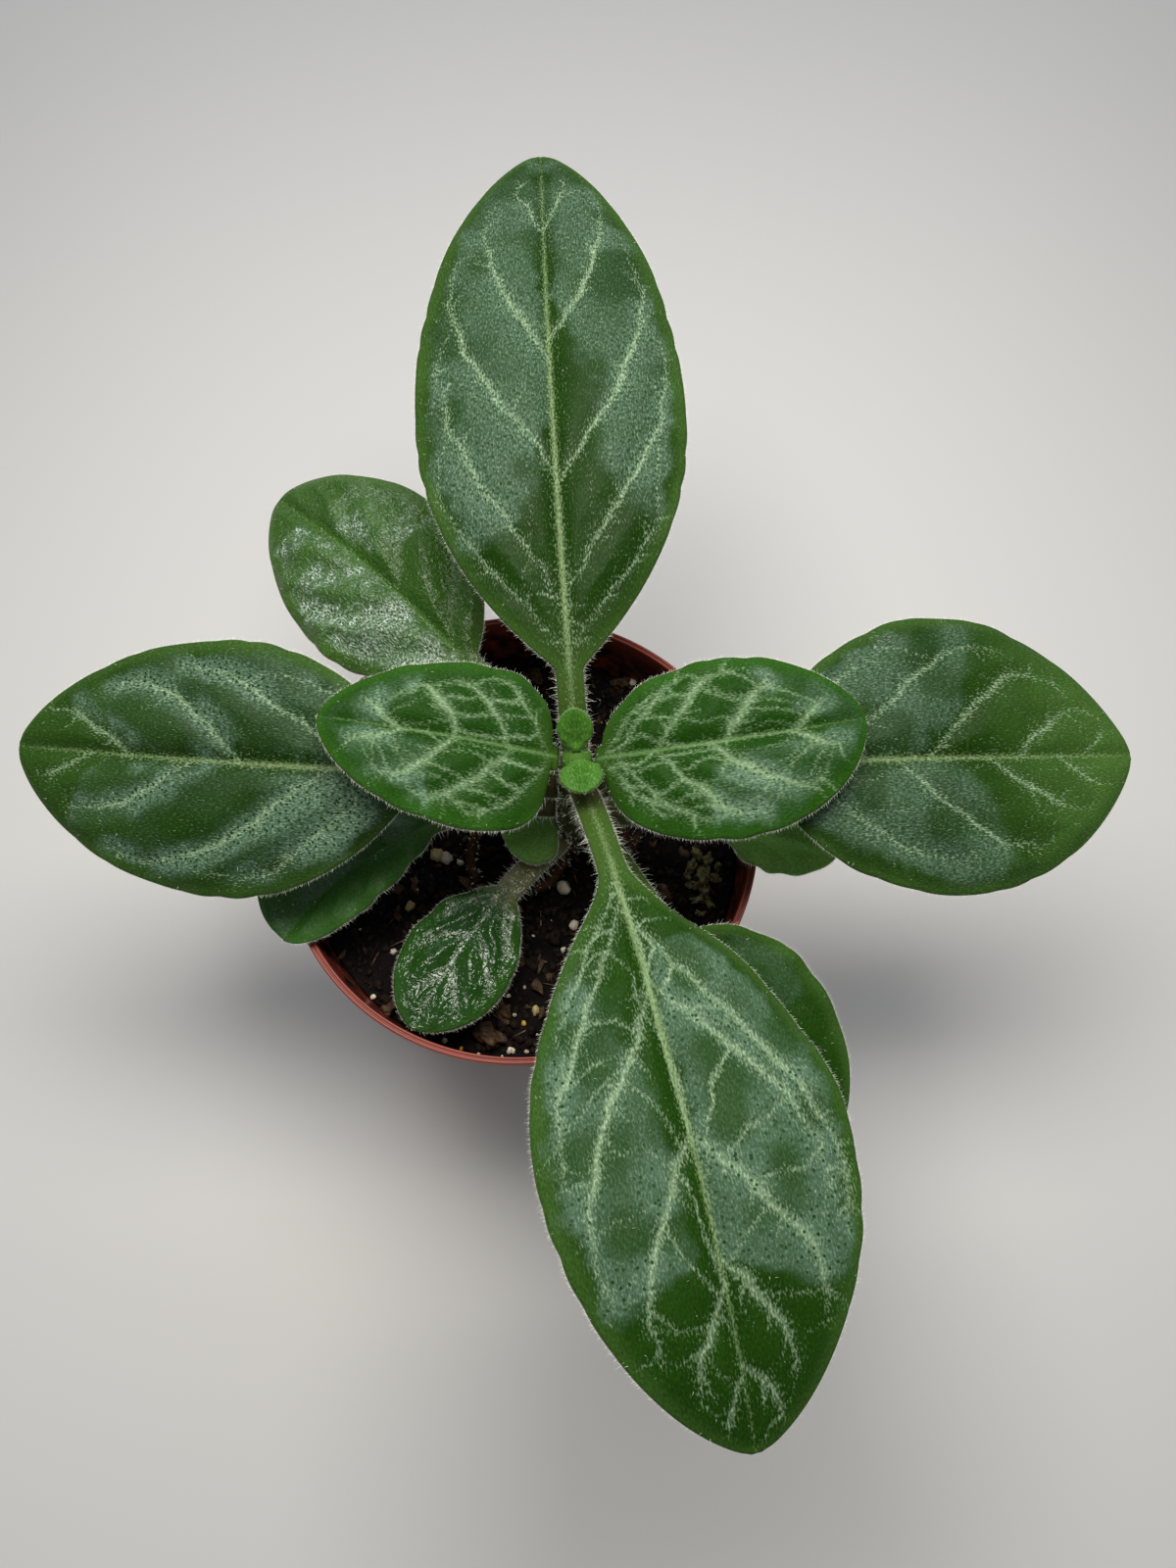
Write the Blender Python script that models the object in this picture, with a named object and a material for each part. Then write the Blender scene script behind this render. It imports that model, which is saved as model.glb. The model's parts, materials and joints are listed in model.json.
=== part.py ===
"""A potted primulina: a thin plastic pot of peat with one short stem and a rosette of broad hairy leaves.

The origin is the middle of the pot's underside and +Z is up. Every dimension below is in millimetres and
every angle in degrees; meshes are scaled to Blender's metres as they are made. The leaves stand in
crossed pairs, the youngest at the top of the stem and the oldest just above the soil.
"""
import math
import random
from dataclasses import dataclass

import bmesh
import bpy
import numpy as np
from mathutils import Matrix, Vector, noise

MM = 0.001
MERGE_WITHIN = 0.001
SHARP_FROM = 40.0
CLEARANCE = 0.3

# The pot: a tapered cup with a tapered collar and a thin rolled lip.
POT_HEIGHT = 86.0
POT_FOOT_RADIUS = 36.0
POT_RIM_RADIUS = 50.0
POT_WALL = 1.0
POT_FLOOR = 2.0
COLLAR_HEIGHT = 17.0
COLLAR_FLARE = 2.2
COLLAR_STEP = 1.2
LIP_HEIGHT = 2.4
LIP_OVERHANG = 0.5
LIP_EASE = 0.3
FOOT_BEVEL = 1.2
POT_SIDES = 48
DRAIN_HOLES = 6
DRAIN_RADIUS = 4.0
DRAIN_CIRCLE = 24.0
DRAIN_SIDES = 14

# The soil: peat up to a finger below the rim, with chips of bark and grains of perlite half sunk in it.
SOIL_LEVEL = 73.0
SOIL_ROUGHNESS = 1.1
SOIL_LUMP_SIZE = 13.0
SOIL_LUMPINESS = (0.9, 2.0, 3)
SOIL_MOUND = 1.5
SOIL_MOUND_SPREAD = 15.0
SOIL_RINGS = 7
SOIL_SIDES = 40
GRAIN_SEED = 5
GRAIN_FLOAT = 0.1
GRAIN_TILT = 0.4
PERLITE_GRAINS = 26
PERLITE_RADIUS = (1.0, 2.3)
PERLITE_NARROWNESS = (0.7, 1.0)
PERLITE_FLATNESS = 0.8
BARK_CHIPS = 18
BARK_HALF_LENGTH = (1.3, 3.6)
BARK_NARROWNESS = (0.35, 0.7)
BARK_FLATNESS = 0.3
STEM_CLEAR = 8.0

# The stem: a short hairy column with the dry stalks of lost leaves round its foot.
STEM_X = 12.0
STEM_Y = 2.0
STEM_SUNK = 16.0
STEM_TOP = 117.0
STEM_FOOT_RADIUS = 4.6
STEM_TOP_RADIUS = 2.6
STEM_NODE_SWELL = 0.45
STEM_NODE_SPREAD = 1.4
STEM_NODE_BELOW = 1.5
STEM_SIDES = 12
STEM_RINGS = 26
STEM_HOLE_SIDES = 20
STUB_FOOT_RADIUS = 1.5
STUB_TIP_RADIUS = 1.0
STUB_SAG = 0.6
STUB_HOOK = 3           # above 1, a stalk curls sideways mostly near its end
STUB_SIDES = 6
STUB_RINGS = 8

# What all the leaves share.
LINE_STEPS = 240
LINE_EASING = 25
FOOT_STANDOFF = 0.8     # from the stem's skin to the middle line's first point
BUD_STANDOFF = 0.9      # from the stem's axis, for the two that stand on its tip
STALK_HALF_WIDTH = 2.4
STALK_THICKNESS = 2.5
STALK_ROUNDNESS = 0.94  # below 1, so that the half-round stalk keeps an edge of its own
STALK_FADE = (-0.1, 0.07)  # stations between which the stalk's section turns into the blade's
STALK_STEPS = 5
SLIM_LEAF = 10.0        # a half-width below which stalk and keel shrink with the blade
BLADE_THICKNESS = 0.85
MARGIN_THICKNESS = 0.65
TIP_HALF_WIDTH = 0.8
RIB_GROOVE = 0.55
RIB_KEEL = 1.5
RIB_SPREAD = 1.7
RELIEF_START = 0.125    # share of the blade by which its relief has its full height
VEIN_SWEEP = 0.4        # how far a side vein runs forward, as a share of the blade
VEIN_SWEEP_SKEW = 0.6   # below 1, the veins near the stalk sweep the most
VEIN_SWEEP_POWER = 1.2  # above 1, a vein turns forward as it nears the margin
VEIN_CROWDING = 1.3     # above 1, the veins stand closer near the stalk
SWELLING_ROUND = 0.6    # below 1, the swellings between veins are broad cushions
LEFT_TO_RIGHT = 1.3     # so that the two margins' waves are out of step, in radians
STEPS_PER_VEIN = 3
BASE_STATIONS = (0.15, 0.45)
SHARES = (-1.0, -0.74, -0.42, -0.13, 0.0, 0.13, 0.42, 0.74, 1.0)
BUD_SHARES = (-1.0, -0.5, 0.0, 0.5, 1.0)


@dataclass
class Leaf:
    """A stalk and a blade on one middle line, with left and right as seen from the foot."""

    name: str
    foot: float         # height at which it leaves the stem
    heading: float      # compass direction from the stem, anticlockwise from +X
    bend: float         # how far that direction turns between foot and tip
    stalk: float        # length of the stalk
    blade: float        # length of the blade
    left: float         # widest half-width on the left
    right: float        # widest half-width on the right
    widest: float       # share of the blade at which it is widest
    base_power: float   # outline towards the stalk: below 0.5 is full, above it is a wedge
    tip_power: float    # outline towards the tip
    climb: tuple        # slope at the foot, mid stalk, blade base, mid blade and tip
    roll: float = 0.0   # sideways tilt, right side up
    fold: float = 9.0   # rise of each half from the midrib
    curl: float = 14.0  # how much that rise has turned down by the margin
    veins: int = 5      # side veins on each side
    quilt: float = 0.9  # height of the swellings between side veins
    wave: float = 1.1   # height of the margin's waves
    waves: float = 4.0  # waves along one margin
    finish: str = "leaf_green"


LEAVES = (
    Leaf("leaf_bud_back", 117.6, 95, 0, 1, 7.5, 3.1, 3.1, 0.5, 0.5, 0.5, (75, 66, 54, 46, 40),
         veins=2, quilt=0.2, wave=0.1, fold=16, finish="young_green"),
    Leaf("leaf_bud_front", 117.6, -80, 0, 1.2, 7.2, 3.8, 3.8, 0.5, 0.5, 0.5, (70, 52, 30, 16, 2),
         veins=2, quilt=0.2, wave=0.1, fold=12, finish="young_green"),
    Leaf("leaf_upper_left", 116, 178, -9, 1.5, 44.5, 16.5, 15.5, 0.3, 0.26, 0.64, (45, 38, 28, 8, -7),
         roll=3, veins=4, quilt=1.0, wave=0.7),
    Leaf("leaf_upper_right", 116, -3, 18, 1.5, 50, 15.8, 17.8, 0.48, 0.38, 0.6, (45, 38, 26, 6, -7),
         roll=-10, veins=4, quilt=1.0, wave=0.8),
    Leaf("leaf_back", 110, 95, -3, 16, 118, 26.6, 25.9, 0.42, 0.86, 0.67, (54, 41, 25, 9, -10)),
    Leaf("leaf_front", 110, -73.7, -6.5, 20, 97.3, 25.8, 24.3, 0.54, 1.3, 0.69, (42, 27, 16, 12, -23),
         roll=6),
    Leaf("leaf_left", 103, 184, -15, 27, 81.3, 25.7, 23.4, 0.45, 0.82, 0.66, (30, 22, 7, -3, -13),
         roll=20, quilt=1.2),
    Leaf("leaf_right", 103, -2, 8, 33, 73.2, 29, 25.7, 0.5, 0.66, 0.72, (30, 22, 8, -6, -11),
         roll=-9, quilt=1.2),
    Leaf("leaf_back_left", 97, 129, 10, 31, 62.8, 20, 19.7, 0.44, 0.76, 0.6, (22, 13, 4, -2, -16),
         roll=15, quilt=1.8, wave=1.0),
    Leaf("leaf_front_right", 97, -63.5, 20, 32, 46.5, 17.5, 14, 0.43, 0.55, 0.6, (20, 10, 0, -8, -16),
         veins=4),
    Leaf("leaf_low_left", 90, 179, 56, 26, 38, 7.8, 17, 0.56, 0.6, 0.5, (14, 7, -4, -7, -7),
         veins=4),
    Leaf("leaf_low_right", 90, -8, -5, 26, 24, 12, 7.5, 0.47, 0.62, 0.64, (14, 6, -2, -6, -10),
         veins=4),
    Leaf("leaf_low_front", 82, 226, 17, 17, 33.8, 11.9, 10.7, 0.54, 0.66, 0.6, (10, 8, 6, 0, -8),
         veins=4, quilt=1.6, wave=0.7),
    Leaf("leaf_small_front", 86.5, 202, 5, 0.5, 11, 7, 7.5, 0.42, 0.45, 0.5, (10, 8, 3, 0, -5),
         veins=2, quilt=0.4, wave=0.2),
)

# Dry stalks left on the foot of the stem: height, heading, length, droop and curl sideways.
STUBS = (
    (80.5, 172, 22, -12, 36),
    (80.5, -5, 9.5, -6, -45),
    (79.0, 205, 15, -8, 25),
    (80.5, 155, 14, -4, -40),
    (79.0, 246, 14, -6, -15),
    (79.5, 300, 10, -4, 50),
    (80.0, 60, 10, -4, -30),
)

COLOURS = {
    "terracotta_plastic": ((0.33, 0.055, 0.03), 0.45),
    "peat": ((0.022, 0.014, 0.009), 0.95),
    "stem_hide": ((0.17, 0.12, 0.05), 0.7),
    "leaf_green": ((0.045, 0.11, 0.03), 0.4),
    "young_green": ((0.11, 0.2, 0.05), 0.4),
}


def material(name):
    """The Principled material of one finish, made once."""
    if name in bpy.data.materials:
        return bpy.data.materials[name]
    colour, roughness = COLOURS[name]
    made = bpy.data.materials.new(name)
    made.use_nodes = True
    shader = made.node_tree.nodes["Principled BSDF"]
    shader.inputs["Base Color"].default_value = (*colour, 1.0)
    shader.inputs["Roughness"].default_value = roughness
    return made


def add_mesh(name, points, faces, finish):
    """A new object from points in millimetres, smooth shaded, in one finish."""
    mesh = bpy.data.meshes.new(name)
    mesh.from_pydata((np.asarray(points, float) * MM).tolist(), [], faces)
    mesh.update()
    mesh.materials.append(material(finish))
    mesh.shade_smooth()
    made = bpy.data.objects.new(name, mesh)
    bpy.context.scene.collection.objects.link(made)
    return made


def add_shell(name, shell):
    """A new object from a bmesh that is already in metres, with no finish of its own."""
    mesh = bpy.data.meshes.new(name)
    shell.to_mesh(mesh)
    shell.free()
    made = bpy.data.objects.new(name, mesh)
    bpy.context.scene.collection.objects.link(made)
    return made


def drill(x, y, z, radius, depth, sides):
    """An upright cutting cylinder with its middle at a point."""
    shell = bmesh.new()
    bmesh.ops.create_cone(shell, cap_ends=True, segments=sides, radius1=radius * MM,
                          radius2=radius * MM, depth=depth * MM,
                          matrix=Matrix.Translation(Vector((x, y, z)) * MM))
    return add_shell("drill", shell)


def fuse(base, pieces, operation="UNION"):
    """Joins loose pieces to the base, or cuts them from it, with one Boolean, and removes them."""
    group = bpy.data.collections.new(base.name + "_pieces")
    for piece in pieces:
        bpy.context.scene.collection.objects.unlink(piece)
        group.objects.link(piece)
    joint = base.modifiers.new("Fuse", "BOOLEAN")
    joint.operation = operation
    joint.operand_type = "COLLECTION"
    joint.collection = group
    bpy.context.view_layer.update()
    evaluated = base.evaluated_get(bpy.context.evaluated_depsgraph_get())
    fused = bpy.data.meshes.new_from_object(evaluated)
    base.modifiers.remove(joint)
    old = base.data
    base.data = fused
    bpy.data.meshes.remove(old)
    for piece in pieces:
        bpy.data.meshes.remove(piece.data)
    bpy.data.collections.remove(group)
    return base


def turned(name, profile, sides, finish):
    """A solid of revolution from a closed profile of (radius, height) pairs, given anticlockwise."""
    turns = np.linspace(0.0, 2.0 * math.pi, sides, endpoint=False)
    points = [(r * math.cos(a), r * math.sin(a), z) for a in turns for r, z in profile]
    count = len(profile)
    faces = []
    for side in range(sides):
        here = side * count
        there = (side + 1) % sides * count
        for k in range(count):
            after = (k + 1) % count
            faces.append((here + k, there + k, there + after, here + after))
    made = add_mesh(name, points, faces, finish)
    shell = bmesh.new()
    shell.from_mesh(made.data)
    bmesh.ops.remove_doubles(shell, verts=shell.verts, dist=MERGE_WITHIN * MM)
    bmesh.ops.dissolve_degenerate(shell, edges=shell.edges, dist=MERGE_WITHIN * MM)
    bmesh.ops.recalc_face_normals(shell, faces=shell.faces)
    shell.to_mesh(made.data)
    shell.free()
    made.data.set_sharp_from_angle(angle=math.radians(SHARP_FROM))
    return made


def wall_radius(height):
    """The inner radius of the tapered wall below the collar."""
    body_top = POT_RIM_RADIUS - LIP_OVERHANG - COLLAR_FLARE - COLLAR_STEP
    share = height / (POT_HEIGHT - COLLAR_HEIGHT)
    return POT_FOOT_RADIUS + (body_top - POT_FOOT_RADIUS) * min(share, 1.0) - POT_WALL


def pot_profile():
    """The pot's section, from the middle of the floor round under the wall and back inside."""
    collar_foot = POT_HEIGHT - COLLAR_HEIGHT
    lip_foot = POT_HEIGHT - LIP_HEIGHT
    collar = POT_RIM_RADIUS - LIP_OVERHANG
    collar_low = collar - COLLAR_FLARE
    inside = collar - POT_WALL
    return [
        (0.0, 0.0),
        (POT_FOOT_RADIUS - FOOT_BEVEL, 0.0),
        (POT_FOOT_RADIUS, FOOT_BEVEL),
        (collar_low - COLLAR_STEP, collar_foot - COLLAR_STEP),
        (collar_low, collar_foot),
        (collar, lip_foot - LIP_OVERHANG),
        (POT_RIM_RADIUS, lip_foot),
        (POT_RIM_RADIUS, POT_HEIGHT - LIP_OVERHANG),
        (POT_RIM_RADIUS - LIP_OVERHANG, POT_HEIGHT),
        (inside + LIP_EASE, POT_HEIGHT),
        (inside, POT_HEIGHT - LIP_EASE),
        (inside, lip_foot - LIP_OVERHANG),
        (collar_low - POT_WALL, collar_foot),
        (wall_radius(collar_foot), collar_foot - COLLAR_STEP),
        (wall_radius(POT_FLOOR), POT_FLOOR),
        (0.0, POT_FLOOR),
    ]


def make_pot():
    pot = turned("pot", pot_profile(), POT_SIDES, "terracotta_plastic")
    drills = []
    for turn in np.linspace(0.0, 2.0 * math.pi, DRAIN_HOLES, endpoint=False):
        x = DRAIN_CIRCLE * math.cos(turn)
        y = DRAIN_CIRCLE * math.sin(turn)
        drills.append(drill(x, y, 0.0, DRAIN_RADIUS, 4 * POT_FLOOR, DRAIN_SIDES))
    return fuse(pot, drills, "DIFFERENCE")


def soil_height(x, y):
    """The lie of the peat: low rolling lumps, with a slight rise towards the stem."""
    lump = noise.fractal(Vector((x, y, 0.0)) / SOIL_LUMP_SIZE, *SOIL_LUMPINESS)
    away = math.hypot(x - STEM_X, y - STEM_Y) / SOIL_MOUND_SPREAD
    return SOIL_LEVEL + SOIL_ROUGHNESS * lump + SOIL_MOUND * math.exp(-away ** 2)


def grain_shape(draw, size, chip):
    """A perlite grain or a bark chip about the origin, turned and stretched at random."""
    shell = bmesh.new()
    if chip:
        bmesh.ops.create_cube(shell, size=2.0)
        stretch = Vector((size, size * draw.uniform(*BARK_NARROWNESS), size * BARK_FLATNESS))
    else:
        bmesh.ops.create_icosphere(shell, subdivisions=1, radius=1.0)
        stretch = Vector((size, size * draw.uniform(*PERLITE_NARROWNESS), size * PERLITE_FLATNESS))
    spin = Matrix.Rotation(draw.uniform(0.0, 2.0 * math.pi), 4, "Z")
    tilt = Matrix.Rotation(draw.uniform(-GRAIN_TILT, GRAIN_TILT), 4, "X")
    bmesh.ops.transform(shell, verts=shell.verts,
                        matrix=spin @ tilt @ Matrix.Diagonal((*(stretch * MM), 1.0)))
    return shell


def soil_grains(reach):
    """Perlite and bark strewn evenly over the peat, each sunk by nearly half its height."""
    draw = random.Random(GRAIN_SEED)
    kinds = ((PERLITE_GRAINS, PERLITE_RADIUS, False), (BARK_CHIPS, BARK_HALF_LENGTH, True))
    pieces = []
    for count, sizes, chip in kinds:
        placed = 0
        while placed < count:
            size = draw.uniform(*sizes)
            distance = (reach - size) * math.sqrt(draw.random())
            turn = draw.uniform(0.0, 2.0 * math.pi)
            x = distance * math.cos(turn)
            y = distance * math.sin(turn)
            if math.hypot(x - STEM_X, y - STEM_Y) < STEM_CLEAR:
                continue
            shell = grain_shape(draw, size, chip)
            place = Vector((x, y, soil_height(x, y) + size * GRAIN_FLOAT))
            bmesh.ops.translate(shell, verts=shell.verts, vec=place * MM)
            pieces.append(add_shell("grain", shell))
            placed += 1
    return pieces


def make_soil():
    """The peat as one plug, with its grains and chips fused in and a plain hole for the stem."""
    collar_foot = POT_HEIGHT - COLLAR_HEIGHT
    collar_low = POT_RIM_RADIUS - LIP_OVERHANG - COLLAR_FLARE - POT_WALL - CLEARANCE
    filled = (SOIL_LEVEL - collar_foot) / (POT_HEIGHT - LIP_HEIGHT - LIP_OVERHANG - collar_foot)
    outer = collar_low + COLLAR_FLARE * filled
    turns = np.linspace(0.0, 2.0 * math.pi, SOIL_SIDES, endpoint=False)
    points = []
    for radius in np.linspace(0.0, outer, SOIL_RINGS + 1)[1:]:
        for turn in turns:
            x = radius * math.cos(turn)
            y = radius * math.sin(turn)
            points.append((x, y, soil_height(x, y)))
    below = (
        (collar_low, collar_foot + CLEARANCE),
        (wall_radius(collar_foot) - CLEARANCE, collar_foot - COLLAR_STEP),
        (wall_radius(POT_FLOOR) - CLEARANCE, POT_FLOOR + CLEARANCE),
    )
    for radius, height in below:
        points += [(radius * math.cos(a), radius * math.sin(a), height) for a in turns]
    rings = len(points) // SOIL_SIDES
    last = (rings - 1) * SOIL_SIDES
    top, bottom = len(points), len(points) + 1
    points += [(0.0, 0.0, soil_height(0.0, 0.0)), (0.0, 0.0, POT_FLOOR + CLEARANCE)]
    faces = []
    for side in range(SOIL_SIDES):
        after = (side + 1) % SOIL_SIDES
        faces.append((top, side, after))
        faces.append((bottom, last + after, last + side))
        for inner in range(0, last, SOIL_SIDES):
            beyond = inner + SOIL_SIDES
            faces.append((inner + side, beyond + side, beyond + after, inner + after))
    soil = add_mesh("soil", points, faces, "peat")
    fuse(soil, soil_grains(outer - CLEARANCE))
    hole = drill(STEM_X, STEM_Y, SOIL_LEVEL, STEM_FOOT_RADIUS + CLEARANCE,
                 2 * (STEM_SUNK + CLEARANCE), STEM_HOLE_SIDES)
    return fuse(soil, [hole], "DIFFERENCE")


def stem_radius(height):
    """The stem's radius: a taper that swells a little at each pair of leaves."""
    share = (height - SOIL_LEVEL) / (STEM_TOP - SOIL_LEVEL)
    share = min(max(share, 0.0), 1.0)
    radius = STEM_FOOT_RADIUS + (STEM_TOP_RADIUS - STEM_FOOT_RADIUS) * share
    for node in sorted({leaf.foot for leaf in LEAVES if leaf.foot < STEM_TOP}):
        radius += STEM_NODE_SWELL * math.exp(-(((height - node + STEM_NODE_BELOW) / STEM_NODE_SPREAD) ** 2))
    return min(radius, STEM_FOOT_RADIUS)


def tube(name, centres, radii, sides, finish):
    """A closed tube through the centres, with a flat cap at each end."""
    centres = np.asarray(centres, float)
    ahead = np.gradient(centres, axis=0)
    ahead /= np.linalg.norm(ahead, axis=1)[:, None]
    guide = np.array((0.0, 0.0, 1.0)) if abs(ahead[0, 2]) < 0.8 else np.array((1.0, 0.0, 0.0))
    points = []
    for centre, along, radius in zip(centres, ahead, radii):
        across = np.cross(along, guide)
        across /= np.linalg.norm(across)
        beside = np.cross(along, across)
        for turn in np.linspace(0.0, 2.0 * math.pi, sides, endpoint=False):
            points.append(centre + radius * (math.cos(turn) * across + math.sin(turn) * beside))
    faces = []
    for ring in range(len(centres) - 1):
        for side in range(sides):
            after = (side + 1) % sides
            low = ring * sides
            faces.append((low + side, low + after, low + sides + after, low + sides + side))
    top = (len(centres) - 1) * sides
    faces.append(tuple(range(sides))[::-1])
    faces.append(tuple(top + side for side in range(sides)))
    return add_mesh(name, points, faces, finish)


def stub_tube(height, heading, length, droop, curl):
    """One dry stalk, sagging as it leaves the stem and curling sideways at its end."""
    centres = []
    radii = []
    for share in np.linspace(0.0, 1.0, STUB_RINGS):
        turn = math.radians(heading + curl * share ** STUB_HOOK)
        reach = STEM_TOP_RADIUS + length * math.sin(share * math.pi / 2)
        drop = math.tan(math.radians(droop)) * length * share ** 2
        sag = STUB_SAG * math.sin(math.pi * share)
        centres.append((STEM_X + reach * math.cos(turn), STEM_Y + reach * math.sin(turn),
                        height + drop - sag))
        radii.append(STUB_FOOT_RADIUS + (STUB_TIP_RADIUS - STUB_FOOT_RADIUS) * share)
    return tube("stub", centres, radii, STUB_SIDES, "stem_hide")


def make_stem():
    """The stem from its foot in the soil to the growing tip, with the dry stalks fused to it."""
    heights = np.linspace(SOIL_LEVEL - STEM_SUNK, STEM_TOP, STEM_RINGS)
    centres = [(STEM_X, STEM_Y, height) for height in heights]
    stem = tube("stem", centres, [stem_radius(h) for h in heights], STEM_SIDES, "stem_hide")
    return fuse(stem, [stub_tube(*stub) for stub in STUBS])


def middle_line(leaf):
    """Distances along the leaf, with the points there and the directions to its right and upwards."""
    length = leaf.stalk + leaf.blade
    distance = np.linspace(0.0, length, LINE_STEPS + 1)
    knots = (0.0, leaf.stalk / 2, leaf.stalk, leaf.stalk + leaf.blade / 2, length)
    slope = np.pad(np.interp(distance, knots, leaf.climb), LINE_EASING // 2, mode="edge")
    slope = np.radians(np.convolve(slope, np.ones(LINE_EASING) / LINE_EASING, "valid"))
    heading = np.radians(leaf.heading + leaf.bend * distance / length)
    ahead = np.stack([np.cos(slope) * np.cos(heading), np.cos(slope) * np.sin(heading),
                      np.sin(slope)], axis=1)
    right = np.stack([np.sin(heading), -np.cos(heading), np.zeros_like(heading)], axis=1)
    up = np.cross(right, ahead)
    tilt = np.radians(leaf.roll) * np.clip(distance / max(leaf.stalk, 1.0), 0.0, 1.0)[:, None]
    right, up = right * np.cos(tilt) + up * np.sin(tilt), up * np.cos(tilt) - right * np.sin(tilt)
    steps = (ahead[1:] + ahead[:-1]) / 2 * length / LINE_STEPS
    points = np.concatenate([np.zeros((1, 3)), np.cumsum(steps, axis=0)])
    on_tip = leaf.foot > STEM_TOP
    out = BUD_STANDOFF if on_tip else stem_radius(leaf.foot) + FOOT_STANDOFF
    foot = (STEM_X + out * math.cos(heading[0]), STEM_Y + out * math.sin(heading[0]), leaf.foot)
    return distance, points + foot, right, up


def outline(leaf, place):
    """The blade's half-width as a share of its widest, at a share of the blade's length."""
    rising = np.clip(place / leaf.widest, 0.0, 1.0)
    falling = np.clip((1.0 - place) / (1.0 - leaf.widest), 0.0, 1.0)
    base = (1.0 - (1.0 - rising) ** 2) ** leaf.base_power
    tip = (1.0 - (1.0 - falling) ** 2) ** leaf.tip_power
    return np.where(place < leaf.widest, base, tip)


def leaf_faces(leaf, stations, shares):
    """The upper and lower skins of a leaf as two grids of points.

    A station runs from -1 to 0 along the stalk and from 0 to 1 along the blade. On the blade each line
    of points sweeps forward with the side veins. A share runs from -1 at the left margin to 1.
    """
    station, share = np.meshgrid(stations, shares, indexing="ij")
    side = np.abs(share)
    blade = np.clip(station, 0.0, 1.0)
    sweep = VEIN_SWEEP * np.sin(math.pi * blade ** VEIN_SWEEP_SKEW) * side ** VEIN_SWEEP_POWER
    place = np.clip(blade + sweep, 0.0, 1.0)
    on_stalk = station < 0.0
    travelled = np.where(on_stalk, (1.0 + station) * leaf.stalk, leaf.stalk + place * leaf.blade)
    distance, *tables = middle_line(leaf)
    centre, rightward, upward = (
        np.stack([np.interp(travelled, distance, column) for column in table.T], axis=-1)
        for table in tables
    )

    slimness = min(leaf.left / SLIM_LEAF, 1.0)
    stalk_width = STALK_HALF_WIDTH * slimness
    narrow = stalk_width + (TIP_HALF_WIDTH - stalk_width) * place
    spread = np.where(share < 0.0, leaf.left, leaf.right) * np.where(on_stalk, 0.0, outline(leaf, place))
    across = side * (narrow ** 3 + spread ** 3) ** (1 / 3)
    lift = np.radians(leaf.fold - leaf.curl * side)
    near_rib = np.exp(-((across / RIB_SPREAD) ** 2))

    between = np.abs(np.sin(math.pi * blade ** (1 / VEIN_CROWDING) * (leaf.veins + 1)))
    cushion = (4.0 * side * (1.0 - side)) ** SWELLING_ROUND * (1.0 - place ** 4)
    phase = np.where(share < 0.0, 0.0, LEFT_TO_RIGHT) + leaf.heading
    ripple = side ** 3 * np.sin(2.0 * math.pi * leaf.waves * place + phase) * (1.0 - place)
    relief = leaf.quilt * between * cushion + leaf.wave * ripple - RIB_GROOVE * near_rib
    height = across * np.sin(lift) + np.clip(blade / RELIEF_START, 0.0, 1.0) * relief
    middle = (centre + rightward * (np.sign(share) * across * np.cos(lift))[..., None]
              + upward * height[..., None])

    thin = BLADE_THICKNESS + (MARGIN_THICKNESS - BLADE_THICKNESS) * side
    keeled = thin + RIB_KEEL * slimness * near_rib * (1.0 - place)
    half_round = STALK_THICKNESS * slimness * np.sqrt(1.0 - STALK_ROUNDNESS * side ** 2)
    fade = np.interp(station, STALK_FADE, (0.0, 1.0))
    thickness = half_round * (1.0 - fade) + keeled * fade
    upper = middle + upward * (MARGIN_THICKNESS / 2)
    lower = upper - upward * np.maximum(thickness, MARGIN_THICKNESS)[..., None]
    return upper, lower


def make_leaf(leaf):
    """One closed solid: both skins are split into the same triangles and joined round the edge."""
    on_tip = leaf.foot > STEM_TOP
    stalk = np.linspace(-1.0, 0.0, STALK_STEPS + 1)[:-1]
    stalk = stalk[:1] if on_tip else stalk
    steps = STEPS_PER_VEIN * (leaf.veins + 1)
    blade = np.array((0, *BASE_STATIONS, *range(1, steps + 1))) / steps
    stations = np.concatenate([stalk, blade ** VEIN_CROWDING])
    upper, lower = leaf_faces(leaf, stations, np.array(BUD_SHARES if on_tip else SHARES))
    rows, columns = upper.shape[:2]
    under = rows * columns
    index = np.arange(under).reshape(rows, columns).tolist()
    faces = []
    for i in range(rows - 1):
        for j in range(columns - 1):
            a, b = index[i][j], index[i][j + 1]
            c, d = index[i + 1][j + 1], index[i + 1][j]
            for p, q, r in ((a, b, c), (a, c, d)):
                faces.append((p, q, r))
                faces.append((under + p, under + r, under + q))
    right_side = [row[-1] for row in index[1:]]
    left_side = [row[0] for row in index[-2:0:-1]]
    edge = index[0] + right_side + index[-1][-2::-1] + left_side
    for p, q in zip(edge, edge[1:] + edge[:1]):
        faces.append((p, under + p, under + q))
        faces.append((p, under + q, q))
    points = np.concatenate([upper.reshape(-1, 3), lower.reshape(-1, 3)])
    return add_mesh(leaf.name, points, faces, leaf.finish)


def main():
    for old in list(bpy.data.objects):
        bpy.data.objects.remove(old)
    make_pot()
    make_soil()
    make_stem()
    for leaf in LEAVES:
        make_leaf(leaf)


main()
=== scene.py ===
# %% [markdown]
# # A potted primulina
#
# A primulina is a small hairy house plant with broad, quilted leaves. This lesson takes the plain solids of
# one in a terracotta coloured pot and gives each of them the surface of the real thing: moulded plastic,
# crumbly peat with perlite in it, and living leaves with pale veins, a silvery cuticle and white hairs.
# Every finished piece takes the place of the plain solid that has its name.

# %% Load the frame
import json
import math
import random
from dataclasses import dataclass

import bmesh
import bpy
import numpy as np
from mathutils import Matrix, Vector, noise

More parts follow.
